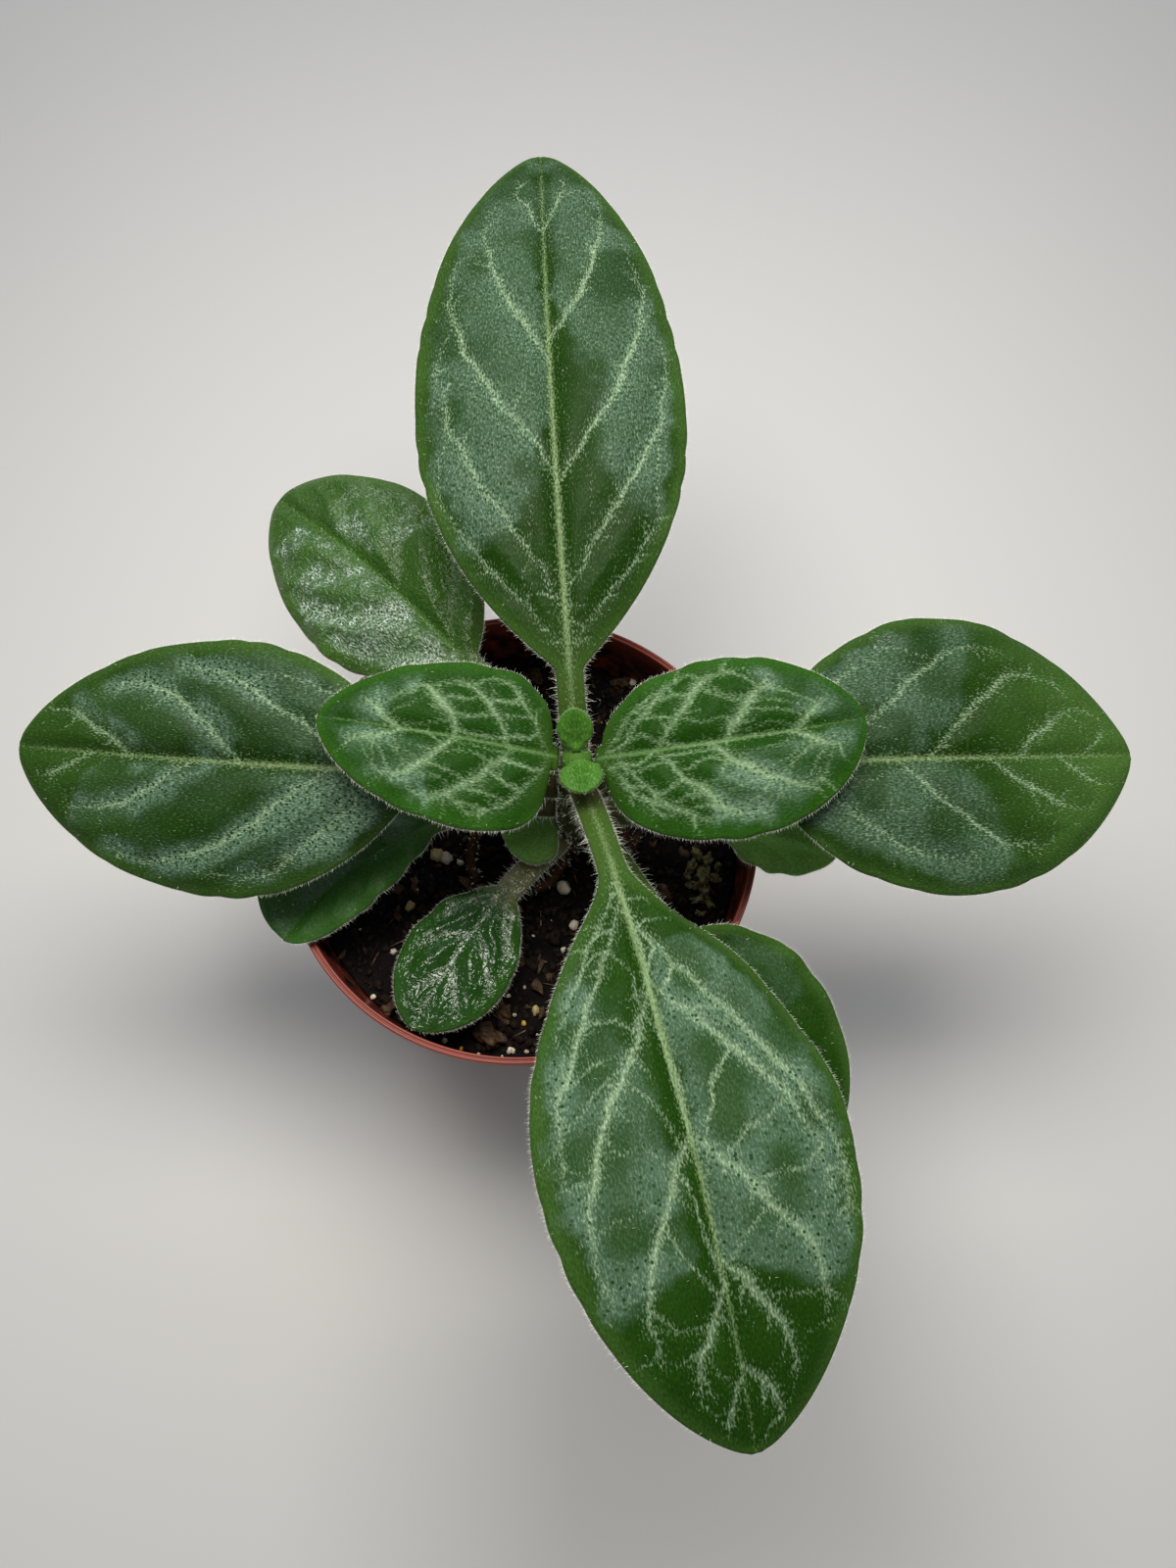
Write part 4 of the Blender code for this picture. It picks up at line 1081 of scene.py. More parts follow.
def side_net(leaf, veins, draw):
    """Rungs and end loops between neighbouring side veins, and spurs into the spaces."""
    net = []
    for near, far in zip(veins, veins[1:]):
        gap = np.linalg.norm(near.points[-1] - near.points[0])
        rungs = max(int(gap / leaf.rungs), 1)
        for number in range(rungs):
            run = (number + 0.5 + draw.uniform(-0.25, 0.25)) / rungs
            start = near.points[int(run * (VEIN_STEPS - 1))]
            end = far.points[int(run * leaf.slant * (VEIN_STEPS - 1))]
            faint = leaf.net * (1.0 - TIP_FADE * start[0] / leaf.blade) * draw.uniform(0.5, 0.9)
            net.append(Vein(wavering(start, end, draw, RUNG_WAVER), np.full(5, faint), NET_WIDTH))
        loop = wavering(near.points[-1], far.points[int(LOOP_END * VEIN_STEPS)], draw, LOOP_WAVER)
        fading = leaf.veining * (1.0 - TIP_FADE * near.points[-1][0] / leaf.blade)
        net.append(Vein(loop, fading * np.linspace(0.8, 0.5, 5), NET_WIDTH))
    for vein in veins:
        net += spurs(leaf, vein, draw)
    return net


def lay_veins(leaf, seed):
    """All veins of a leaf but its rib."""
    draw = random.Random(seed)
    veins = []
    for side, table in ((-1, leaf.left_veins), (1, leaf.right_veins)):
        mains = [side_vein(leaf, side, *vein) for vein in table]
        veins += mains + side_net(leaf, mains, draw)
    return veins


print("veins of the back leaf:", len(lay_veins(LEAVES[4], 4)))

# %% [markdown]
# The blade is a fine grid of points. For each point, the field below finds how pale the nearest veins
# make it and how far the nearest main vein is. A vein has a pale core and a wider, fainter skirt where the
# green thins out beside it. The relief comes from the same field: each vein lies in a groove, and the
# blade swells between the main ones, as a quilt does between its seams.

# %% Measure the veins on a grid
FAR = 12.0
GROOVE_WIDTH = 0.55
SKIRT = 0.5                 # share of a main vein's paleness that its skirt has
SKIRT_WIDTH = 4.2           # times the vein's own width
SKIRT_REACH = 2.5           # times the skirt's width, beyond which a fine vein is too faint to count


def vein_field(veins, along, aside):
    """Paleness, groove depth and distance to the nearest main vein, on a grid in flat millimetres."""
    pale = np.zeros_like(along)
    groove = np.zeros_like(along)
    nearest = np.full_like(along, FAR)
    rows = along[:, 0]
    for vein in veins:
        reach = FAR if vein.main else SKIRT_REACH * SKIRT_WIDTH * vein.width
        share = SKIRT if vein.main else SKIRT / 2
        for k, (start, end) in enumerate(zip(vein.points, vein.points[1:])):
            low, high = sorted((start[0], end[0]))
            near = slice(*np.searchsorted(rows, (low - reach, high + reach)))
            step = end - start
            run = (along[near] - start[0]) * step[0] + (aside[near] - start[1]) * step[1]
            run = np.clip(run / max(step @ step, 1e-9), 0.0, 1.0)
            gap = np.hypot(along[near] - start[0] - run * step[0], aside[near] - start[1] - run * step[1])
            strength = vein.pale[k] + (vein.pale[k + 1] - vein.pale[k]) * run
            skirt = share * np.exp(-((gap / (SKIRT_WIDTH * vein.width)) ** 2))
            profile = strength * ((1.0 - share) * np.exp(-((gap / vein.width) ** 2)) + skirt)
            pale[near] = np.maximum(pale[near], profile)
            groove[near] = np.maximum(groove[near], strength * np.exp(-((gap / GROOVE_WIDTH) ** 2)))
            if vein.main:
                nearest[near] = np.minimum(nearest[near], gap)
    return pale, groove, nearest


def scatter(u, v, seed, turns=(127.1, 311.7)):
    """A random share that a pair of whole numbers always gets again: the end digits of a large sine."""
    hashed = np.sin(u * turns[0] + v * turns[1] + seed) * 43758.5453
    return hashed - np.floor(hashed)


def flat_noise(along, aside, size, seed):
    """A smooth random value from -1 to 1 on the flat blade, with features of a size."""
    u, v = along / size, aside / size
    low_u, low_v = np.floor(u), np.floor(v)
    part_u, part_v = close_in(u - low_u, 0.0, 1.0), close_in(v - low_v, 0.0, 1.0)
    rows = []
    for row in (low_v, low_v + 1):
        start, end = (scatter(low_u + step, row, seed * 17.3) for step in (0, 1))
        rows.append(start + (end - start) * part_u)
    return 2.0 * (rows[0] + (rows[1] - rows[0]) * part_v) - 1.0


def domes(along, aside, size, seed):
    """The little domes of a puckered blade: high in the middle of each cell, low between cells."""
    first = np.full_like(along, FAR)
    length, width = along / size, aside / (size * 1.5)
    for step_u in (-1, 0, 1):
        for step_v in (-1, 0, 1):
            u, v = np.floor(length) + step_u, np.floor(width) + step_v
            gap = np.hypot(length - u - scatter(u, v, seed), width - v - scatter(u, v, seed, (269.5, 183.3)))
            first = np.minimum(first, gap)
    return 1.0 - np.clip(first, 0.0, 1.0) ** 2


# %% [markdown]
# ### The bent leaf
#
# Now the flat grid is laid along the middle line, above and below. The margin gets a row of its own that
# bulges out, because the edge of a thick leaf is round and catches the light as a fine pale line. That row
# is also painted a paler green, partly as painted highlight.

# %% Bend the flat blade
LINE_STEPS = 240
LINE_EASING = 25
FOOT_STANDOFF = 0.8
BUD_STANDOFF = 0.9


def middle_line(leaf):
    """Distances along the leaf, with the points there and the directions to its right and upwards."""
    length = leaf.stalk + leaf.blade
    distance = np.linspace(0.0, length, LINE_STEPS + 1)
    knots = (0.0, leaf.stalk / 2, leaf.stalk, leaf.stalk + leaf.blade / 2, length)
    slope = np.pad(np.interp(distance, knots, leaf.climb), LINE_EASING // 2, mode="edge")
    slope = np.radians(np.convolve(slope, np.ones(LINE_EASING) / LINE_EASING, "valid"))
    heading = np.radians(leaf.heading + leaf.bend * distance / length)
    ahead = np.stack([np.cos(slope) * np.cos(heading), np.cos(slope) * np.sin(heading),
                      np.sin(slope)], axis=1)
    right = np.stack([np.sin(heading), -np.cos(heading), np.zeros_like(heading)], axis=1)
    up = np.cross(right, ahead)
    tilt = np.radians(leaf.roll) * np.clip(distance / max(leaf.stalk, 1.0), 0.0, 1.0)[:, None]
    right, up = right * np.cos(tilt) + up * np.sin(tilt), up * np.cos(tilt) - right * np.sin(tilt)
    steps = (ahead[1:] + ahead[:-1]) / 2 * length / LINE_STEPS
    points = np.concatenate([np.zeros((1, 3)), np.cumsum(steps, axis=0)])
    out = BUD_STANDOFF if leaf.foot > STEM_TOP else stem_radius(leaf.foot) + FOOT_STANDOFF
    foot = (STEM_X + out * math.cos(heading[0]), STEM_Y + out * math.sin(heading[0]), leaf.foot)
    return distance, points + foot, right, up


print("the back leaf's tip is at", middle_line(LEAVES[4])[1][-1])

# %% Lay the flat grid
CELL = 0.52
CELLS_AT_LEAST = 70
STALK_CELL = 1.1
END_CROWDING = 0.35


@dataclass
class Grid:
    """The points of a flat leaf, in rows across it, with where each of them lies."""
    station: np.ndarray     # -1 to 0 along the stalk, 0 to 1 along the blade
    share: np.ndarray       # -1 to 1 from the left margin to the right one
    place: np.ndarray       # share of the blade's length, 0 on the stalk
    travelled: np.ndarray   # millimetres from the stalk's foot
    along: np.ndarray       # millimetres from the blade's base
    width: np.ndarray       # from the rib to the margin
    across: np.ndarray      # from the rib to the point
    aside: np.ndarray       # the same, below zero on the left


def lay_grid(leaf):
    """A leaf's flat grid. Its cells crowd at both ends of the blade, where the margin turns fast."""
    cell = min(CELL, leaf.blade / CELLS_AT_LEAST)
    even = np.linspace(0.0, 1.0, round(leaf.blade / cell) + 1)
    blade = even - END_CROWDING * np.sin(2.0 * math.pi * even) / (2.0 * math.pi)
    stalk = np.linspace(-1.0, 0.0, max(round(leaf.stalk / STALK_CELL), 2) + 1)[:-1]
    columns = round(max(leaf.left, leaf.right) / cell)
    shares = np.linspace(-1.0, 1.0, 2 * columns + 1)
    station, share = np.meshgrid(np.concatenate([stalk, blade]), shares, indexing="ij")
    on_stalk = station < 0.0
    place = np.clip(station, 0.0, 1.0)
    travelled = np.where(on_stalk, (1.0 + station) * leaf.stalk, leaf.stalk + place * leaf.blade)
    along = np.where(on_stalk, station * leaf.stalk, place * leaf.blade)
    width = half_width(leaf, place, share, on_stalk)
    across = np.abs(share) * width
    return Grid(station, share, place, travelled, along, width, across, np.sign(share) * across)


print("rows and columns of the back leaf:", lay_grid(LEAVES[4]).share.shape)

# %% [markdown]
# The silver lies in panels beside the side veins. It is partly the leaf's own silver and partly painted
# sheen, where the quilted blade would mirror the back panel. It keeps off the rib by a gap that changes
# along the blade, and off the margin, and its edges are ragged. A slow mottle thins it, and it is
# strongest a little to the base's side of each vein, on the slope that faces the light: that band is
# painted sheen.

# %% Spread the silver
SILVER_PATCH = 5.0
SILVER_EDGE = 2.2
SILVER_FADE = (1.5, 0.3)    # width of an edge, and how much a wide gap adds to it
SILVER_LEVELS = (-0.6, 0.8)
SILVER_INSET = (1.2, 4.0)   # millimetres from the margin where it starts and is full
SILVER_MOTTLE = 6.5
MOTTLE_LEAST = 0.25
MOTTLE_LEVELS = (-0.7, 0.1)
RAGGED_SIZE = 1.7
RAGGED_LEVELS = (-0.2, 0.4)
RAGGED_FROM = (0.28, 0.45)
SHEEN_BAND = 3.0
SHEEN_SHIFT = 1.3
SHEEN_BANDED_FROM = (0.15, 0.45)


def silver_and_sheen_cover(leaf, grid, nearest, seed):
    """How far the silver, partly painted sheen, covers each point of a leaf."""
    along, aside, across = grid.along, grid.aside, grid.across
    patchy = SILVER_EDGE * (flat_noise(along, aside, SILVER_PATCH, seed + 7)
                            + 0.6 * flat_noise(along, aside, SILVER_PATCH / 3, seed + 8))
    silver = np.zeros_like(across)
    for table, here in ((leaf.left_silver, grid.share < 0.0), (leaf.right_silver, grid.share > 0.0)):
        if table:
            gap = np.interp(grid.place, *zip(*table))
            inside = (across - gap + patchy) / (SILVER_FADE[0] + SILVER_FADE[1] * gap)
            silver = np.where(here, close_in(inside, *SILVER_LEVELS), silver)
    silver *= close_in(grid.width - across + 0.7 * patchy, *SILVER_INSET) * (grid.station >= 0.0)
    mottle = close_in(flat_noise(along, aside, SILVER_MOTTLE, seed + 9), *MOTTLE_LEVELS)
    silver *= leaf.silvering * (MOTTLE_LEAST + (1.0 - MOTTLE_LEAST) * mottle)
    worn = 1.0 - close_in(flat_noise(2.0 * along, aside, RAGGED_SIZE, seed + 11), *RAGGED_LEVELS)
    silver *= 1.0 - leaf.ragged * close_in(grid.place, *RAGGED_FROM) * worn
    # Painted sheen: a band a little to the base's side of each vein, on the slope that faces the light.
    sheen_banded = leaf.sheen_banded * close_in(grid.place, *SHEEN_BANDED_FROM)
    rows = len(grid.station)
    ahead = np.minimum(np.arange(rows) + round(SHEEN_SHIFT / CELL), rows - 1)
    return silver * (1.0 - sheen_banded + sheen_banded * np.exp(-((nearest[ahead] / SHEEN_BAND) ** 4)))


print("the silver is full", SILVER_INSET[1], "mm from the margin")

# %% [markdown]
# The rib is a soft pale line in a wider, fainter one. The margin is a fresher green than the blade. The tip
# of some leaves is painted in that lighter green as well, as painted light. The oldest stalks turn woody at
# their foot.

# %% Mark what the finish has to know
RIB_WIDTH = (0.65, 0.3)
FULL_RIB = 70.0             # blades shorter than this have a finer rib
RIB_CORE = 0.6
RIB_SKIRT = 2.6
RIB_ALONG = ((-0.05, 0.12, 0.5, 0.9, 1.0), (0.5, 0.85, 0.75, 0.5, 0.3))
MARGIN_FRESH = 0.55
FRESH_REACH = (0.5, 4.0)
TIP_LIGHT_FROM = (0.45, 1.0)
STALK_UNTIL = (-0.15, 0.16)
WOODY_REACH = (1.0, 11.0)
WOODY_STALK = 18.0          # shorter stalks are too young to be woody


def finish_marks(leaf, grid, pale, nearest, seed):
    """How far each layer of the finish shows at each point."""
    width = (RIB_WIDTH[0] + (RIB_WIDTH[1] - RIB_WIDTH[0]) * grid.place) * min(leaf.blade / FULL_RIB, 1.0)
    core, skirt = (np.exp(-((grid.across / width / wider) ** 2)) for wider in (1.0, RIB_SKIRT))
    rib = (RIB_CORE * core + (1.0 - RIB_CORE) * skirt) * np.interp(grid.station, *RIB_ALONG)
    near_margin = 1.0 - close_in(grid.width - grid.across, *FRESH_REACH)
    lit_tip = close_in(grid.place, *TIP_LIGHT_FROM)
    return {
        "vein": pale,
        "rib": rib,
        # The margin's own fresher green, and on some tips the same green as painted light.
        "fresh": np.maximum(MARGIN_FRESH * near_margin, leaf.tip_painted_light * lit_tip),
        "stalk": 1.0 - close_in(grid.station, *STALK_UNTIL),
        "woody": (1.0 - close_in(grid.travelled, *WOODY_REACH)) * (leaf.stalk > WOODY_STALK),
        "silver": silver_and_sheen_cover(leaf, grid, nearest, seed),
    }


print("the rib's width at the base and at the tip:", RIB_WIDTH)

# %% Shape both skins
WAVER = (
    # size and shift of the veins' wavering, in millimetres
    (4.0, 0.7),
    (1.3, 0.22),
)
WAVER_FROM = (0, 3)         # a vein leaves the rib where it should, and wavers further out
STALK_THICKNESS = 2.5
STALK_ROUNDNESS = 0.94
STALK_FADE = (-0.1, 0.07)
BLADE_THICKNESS = 0.85
MARGIN_THICKNESS = 0.65
RIB_KEEL = 1.5
RIB_SPREAD = 1.7
RELIEF_START = 0.125
CUSHION_SPREAD = 3.2
MARGIN_FLAT = 3.5
LEFT_TO_RIGHT = 1.3
VEIN_GROOVE = 0.22
VEIN_KEEL = 0.25


def shape_leaf(leaf, seed):
    """The points of both skins, the marks for the finish and the place of each point on the flat blade."""
    grid = lay_grid(leaf)
    along, aside, across, place = grid.along, grid.aside, grid.across, grid.place
    side = np.abs(grid.share)
    slimness = min(leaf.left / SLIM_LEAF, 1.0)
    waver_along, waver_aside = along, aside
    for number, (size, shift) in enumerate(WAVER):
        forward, sideways = (flat_noise(along, aside, size, seed + number + more) for more in (0, 40))
        waver_along = waver_along + slimness * shift * forward
        waver_aside = waver_aside + slimness * shift * sideways * close_in(across, *WAVER_FROM)
    pale, groove, nearest = vein_field(lay_veins(leaf, seed), waver_along, waver_aside)

    near_rib = np.exp(-((across / RIB_SPREAD) ** 2))
    cushion = 1.0 - np.exp(-((np.minimum(nearest, across) / (CUSHION_SPREAD * slimness)) ** 2))
    cushion *= close_in(grid.width - across, 0.0, MARGIN_FLAT * slimness) * (1.0 - place ** 4)
    phase = np.where(grid.share < 0.0, 0.0, LEFT_TO_RIGHT) + leaf.heading
    ripple = side ** 3 * np.sin(2.0 * math.pi * leaf.waves * place + phase) * (1.0 - place)
    small = leaf.pucker * domes(along, aside, leaf.dome, seed) * cushion
    relief = leaf.quilt * cushion + leaf.wave * ripple - leaf.channel * near_rib
    relief += small - VEIN_GROOVE * slimness * groove

    distance, *tables = middle_line(leaf)
    centre, rightward, upward = (
        np.stack([np.interp(grid.travelled, distance, column) for column in table.T], axis=-1)
        for table in tables
    )
    lift = np.radians(leaf.fold - leaf.curl * side)
    height = across * np.sin(lift) + np.clip(place / RELIEF_START, 0.0, 1.0) * relief
    middle = centre + rightward * (aside * np.cos(lift))[..., None] + upward * height[..., None]
    thin = BLADE_THICKNESS + (MARGIN_THICKNESS - BLADE_THICKNESS) * side
    keeled = thin + RIB_KEEL * slimness * near_rib * (1.0 - place) + VEIN_KEEL * slimness * groove
    half_round = STALK_THICKNESS * slimness * np.sqrt(1.0 - STALK_ROUNDNESS * side ** 2)
    fade = np.interp(grid.station, STALK_FADE, (0.0, 1.0))
    thickness = half_round * (1.0 - fade) + keeled * fade
    upper = middle + upward * (MARGIN_THICKNESS / 2)
    lower = upper - upward * np.maximum(thickness, MARGIN_THICKNESS)[..., None]
    flat = np.stack([along, aside, np.zeros_like(along)], axis=-1) * MM
    return upper, lower, finish_marks(leaf, grid, pale, nearest, seed), flat


print("points of one skin of the back leaf:", shape_leaf(LEAVES[4], 4)[0].shape)

# %% Join both skins round the margin
EDGE_BULGE = 0.4


def ring_of(grid):
    """The points round a grid's edge, in order: the foot, the right side, the tip, the left side."""
    return np.concatenate([grid[0], grid[1:, -1], grid[-1, -2::-1], grid[-2:0:-1, 0]])


def make_leaf(leaf, seed):
    """One closed leaf with its marks as attributes, and which of its points are on the margin."""
    upper, lower, marks, flat = shape_leaf(leaf, seed)
    rows, columns = upper.shape[:2]
    upper, lower, flat = (grid.reshape(-1, 3) for grid in (upper, lower, flat))
    count = rows * columns
    index = np.arange(count).reshape(rows, columns)
    edge = ring_of(index)
    inner = np.clip(ring_of(np.stack(np.meshgrid(np.arange(rows), np.arange(columns), indexing="ij"), -1)),
                    1, (rows - 2, columns - 2))
    outward = upper[edge] - upper[index[inner[:, 0], inner[:, 1]]]
    outward /= np.linalg.norm(outward, axis=1)[:, None]
    rim = (upper[edge] + lower[edge]) / 2 + outward * MARGIN_THICKNESS * EDGE_BULGE
    corners = (index[:-1, :-1], index[:-1, 1:], index[1:, 1:], index[1:, :-1])
    a, b, c, d = (corner.ravel() for corner in corners)
    next_edge = np.roll(edge, -1)
    on_rim = 2 * count + np.arange(len(edge))
    next_rim = np.roll(on_rim, -1)
    top = np.stack([a, b, c, d], axis=1)
    under = np.stack([a, d, c, b], axis=1) + count
    over = np.stack([edge, on_rim, next_rim, next_edge], axis=1)
    beneath = np.stack([on_rim, edge + count, next_edge + count, next_rim], axis=1)
    faces = np.concatenate([top, under, over, beneath]).tolist()
    made = add_object(leaf.name + "_living", np.concatenate([upper, lower, rim]), faces)
    mesh = made.data
    below = np.zeros(len(faces), int)
    below[len(top):len(top) + len(under)] = 1
    below[-len(beneath):] = 1
    mesh.polygons.foreach_set("material_index", below)
    for label, values in marks.items():
        level = values.ravel()
        mark(mesh, label, "FLOAT", np.concatenate([level, level, level[edge]]))
    rimmed = np.concatenate([np.zeros(2 * count), np.ones(len(edge))])
    mark(mesh, "edge", "FLOAT", rimmed)
    mark(mesh, "flat", "FLOAT_VECTOR", np.concatenate([flat, flat, flat[edge]]))
    mark(mesh, "outward", "FLOAT_VECTOR", np.concatenate([np.zeros((2 * count, 3)), outward]))
    return made, rimmed


print("both skins share", CELL, "mm cells")

# %% [markdown]
# ## The leaves' finishes
#
# A leaf's upper skin is a waxy cuticle over cells that stand up like tiny cobbles, so it shines softly, and
# its sparkle up close is painted on as pale glints: a painted highlight. The true cells are far finer than a
# picture can show, so they are drawn 0.3 mm wide.
# Veins carry no green, so they are pale, and their edges break up into cells: the veins' paleness and the
# grain of the cells are added and cut off at a threshold. On the silvered leaves whole panels between the
# veins are grey, partly from air under the skin and partly as painted sheen, which is strongest beside the
# veins where the blade would mirror the back panel. Wrinkles and cells break the grey up, the highest cells
# in it and in the veins are painted as pale glints, a painted highlight, and the hairs' roots show there as
# dark dots 1 to 2 mm apart. The panels and the veins come as attributes of the mesh, and the finer patterns
# follow each point's place on the flat blade.

# %% Upper skin
GRAIN = 0.3
GRAIN_STRETCH = (0.45, 1.0, 1.0)
GRAIN_LEVELS = (0.34, 0.66)
SHADE_SIZE = 9.0
FOLD_LEVELS = (0.42, 0.58)
DOT_RADIUS = 0.23
DOT_BLUR = 0.05
VEIN_FULL = 1.05
RIB_LEVELS = (0.22, 0.95)
PROUD_LEVELS = (0.55, 1.0)
SATIN = 0.06                # how far the cells change the roughness, to either side
WOODY_BROWN = "#4a3b24"
# Painted highlight, in part: the paler green of the margin's own row.
EDGE_GREEN_AND_HIGHLIGHT = "#7d9668"


@dataclass
class Skin:
    name: str
    deep: str               # the green between the veins
    # the second green is also painted on some tips as painted light
    fresh: str              # the green of the margin and of lighter patches
    stalk: str
    rib: str
    vein: str
    silver: str
    # painted highlight: the colour of the glinting cells
    painted_glint: str              # the cells that stand highest in the pale parts
    roughness: float
    gloss: float            # specular level
    bump: float             # height of the cobbles in millimetres
    wrinkle: float          # height of the wrinkles in millimetres
    wrinkle_size: float = 1.6
    # painted highlight: how bright the glinting cells are, and below, how many of them the silver shows
    painted_sparkle: float = 0.5    # how bright the highest cells are
    broken: float = 0.25    # how far the wrinkles break the silver up
    glints_on_silver: float = 0.6      # how many of the highest cells the silver shows
    speckle: float = 0.6    # how far the cells break the silver up
    dots: float = 1.9       # spacing of the hairs' roots in millimetres
    grain: float = 0.62     # how far the cells break the veins up


def upper_skin(skin):
    """A living leaf's upper skin."""
    material, tree, shader = new_material(skin.name)
    place = add_node(tree, "ShaderNodeTexCoord").outputs["Object"]
    marks = {label: add_node(tree, "ShaderNodeAttribute", attribute_name=label).outputs["Fac"]
             for label in ("vein", "rib", "fresh", "stalk", "woody", "silver", "edge")}
    on_blade = add_node(tree, "ShaderNodeAttribute", attribute_name="flat").outputs["Vector"]
    drawn_out = add_node(tree, "ShaderNodeVectorMath", {0: on_blade, 1: GRAIN_STRETCH}, operation="MULTIPLY")
    cells = add_node(tree, "ShaderNodeTexNoise",
                     {"Vector": drawn_out, "Scale": per_mm(GRAIN), "Detail": 1.5, "Roughness": 0.6})
    grain = add_node(tree, "ShaderNodeMapRange",
                     {"Value": cells, "From Min": GRAIN_LEVELS[0], "From Max": GRAIN_LEVELS[1]})
    shade = add_node(tree, "ShaderNodeTexNoise",
                     {"Vector": place, "Scale": per_mm(SHADE_SIZE), "Detail": 2.0})
    uneven = add_node(tree, "ShaderNodeMath", {0: grain, 1: shade}, operation="ADD")
    flecked = add_node(tree, "ShaderNodeMapRange",
                       {"Value": uneven, "From Max": 2.0, "To Min": 0.5, "To Max": 1.5})
    green = add_node(tree, "ShaderNodeMix",
                     {0: marks["fresh"], 6: linear(skin.deep), 7: linear(skin.fresh)}, data_type="RGBA")
    living = add_node(tree, "ShaderNodeVectorMath", {0: green, "Scale": flecked}, operation="SCALE")

    folds = add_node(tree, "ShaderNodeTexNoise", {"Vector": on_blade, "Scale": per_mm(skin.wrinkle_size),
                                                  "Detail": 2.0, "Distortion": 1.2})
    broken = add_node(tree, "ShaderNodeMapRange", {"Value": folds, "From Min": FOLD_LEVELS[0],
                                                   "From Max": FOLD_LEVELS[1], "To Min": 1.0 - skin.broken})
    panel = add_node(tree, "ShaderNodeMath", {0: marks["silver"], 1: broken}, operation="MULTIPLY")
    grainy = add_node(tree, "ShaderNodeMapRange", {"Value": grain, "To Min": 1.0 - skin.speckle})
    silver_and_sheen = add_node(tree, "ShaderNodeMath", {0: panel, 1: grainy}, operation="MULTIPLY")

    stray = add_node(tree, "ShaderNodeMapRange",
                     {"Value": grain, "To Min": -skin.grain / 2, "To Max": skin.grain / 2})
    ragged = add_node(tree, "ShaderNodeMath", {0: marks["vein"], 1: stray}, operation="ADD")
    veined = add_node(tree, "ShaderNodeMapRange", {"Value": ragged, "From Min": skin.grain / 2 + 0.01,
                                                   "From Max": VEIN_FULL, "To Max": 0.8})
    on_rib = add_node(tree, "ShaderNodeMath", {0: marks["rib"], 1: stray}, operation="ADD")
    ribbed = add_node(tree, "ShaderNodeMapRange", {"Value": on_rib, "From Min": RIB_LEVELS[0],
                                                   "From Max": RIB_LEVELS[1], "To Max": 0.85})

    # Painted highlight: the highest cells of the veins and of the silver are painted a pale glint colour.
    proud = add_node(tree, "ShaderNodeMapRange", {"Value": grain, "From Min": PROUD_LEVELS[0],
                                                  "From Max": PROUD_LEVELS[1], "To Max": skin.painted_sparkle})
    faded = add_node(tree, "ShaderNodeMath", {0: panel, 1: skin.glints_on_silver}, operation="MULTIPLY")
    pale_parts = add_node(tree, "ShaderNodeMath", {0: veined, 1: faded}, operation="MAXIMUM")
    painted_glints = add_node(tree, "ShaderNodeMath", {0: proud, 1: pale_parts}, operation="MULTIPLY")

    roots = add_node(tree, "ShaderNodeTexVoronoi", {"Vector": on_blade, "Scale": per_mm(skin.dots)},
                     voronoi_dimensions="2D")
    dots = add_node(tree, "ShaderNodeMapRange", {"Value": roots.outputs["Distance"],
                                                 "From Min": (DOT_RADIUS + DOT_BLUR) / skin.dots,
                                                 "From Max": (DOT_RADIUS - DOT_BLUR) / skin.dots})
    dark = add_node(tree, "ShaderNodeMath", {0: dots, 1: marks["silver"]}, operation="MULTIPLY")

    colour = living
    for cover, strength, laid in (
        # each layer covers what is under it, as far as this, in this colour
        # the leaf's own silver together with painted sheen
        (silver_and_sheen, 1.0, skin.silver),
        (veined, 1.0, skin.vein),
        # painted highlight on the highest cells
        (painted_glints, 1.0, skin.painted_glint),
        (dark, 0.95, skin.deep),
        (marks["stalk"], 0.8, skin.stalk),
        (ribbed, 1.0, skin.rib),
        (marks["woody"], 0.75, WOODY_BROWN),
        # partly painted highlight on the margin's row
        (marks["edge"], 0.45, EDGE_GREEN_AND_HIGHLIGHT),
    ):
        share = add_node(tree, "ShaderNodeMath", {0: cover, 1: strength}, operation="MULTIPLY")
        colour = add_node(tree, "ShaderNodeMix", {0: share, 6: colour, 7: linear(laid)}, data_type="RGBA")

    satin = add_node(tree, "ShaderNodeMapRange",
                     {"Value": grain, "To Min": skin.roughness + SATIN, "To Max": skin.roughness - SATIN})
    pits = add_node(tree, "ShaderNodeMath", {0: cells, 1: dark}, operation="SUBTRACT")
    cobbles = add_node(tree, "ShaderNodeBump", {"Height": pits, "Distance": skin.bump * MM, "Strength": 1.0})
    relief = add_node(tree, "ShaderNodeBump", {"Height": folds, "Distance": skin.wrinkle * MM,
                                               "Strength": 1.0, "Normal": cobbles})
    plug(tree, shader, {"Base Color": colour, "Roughness": satin, "Normal": relief,
                        "Specular IOR Level": skin.gloss})
    print(skin.name)
    return material


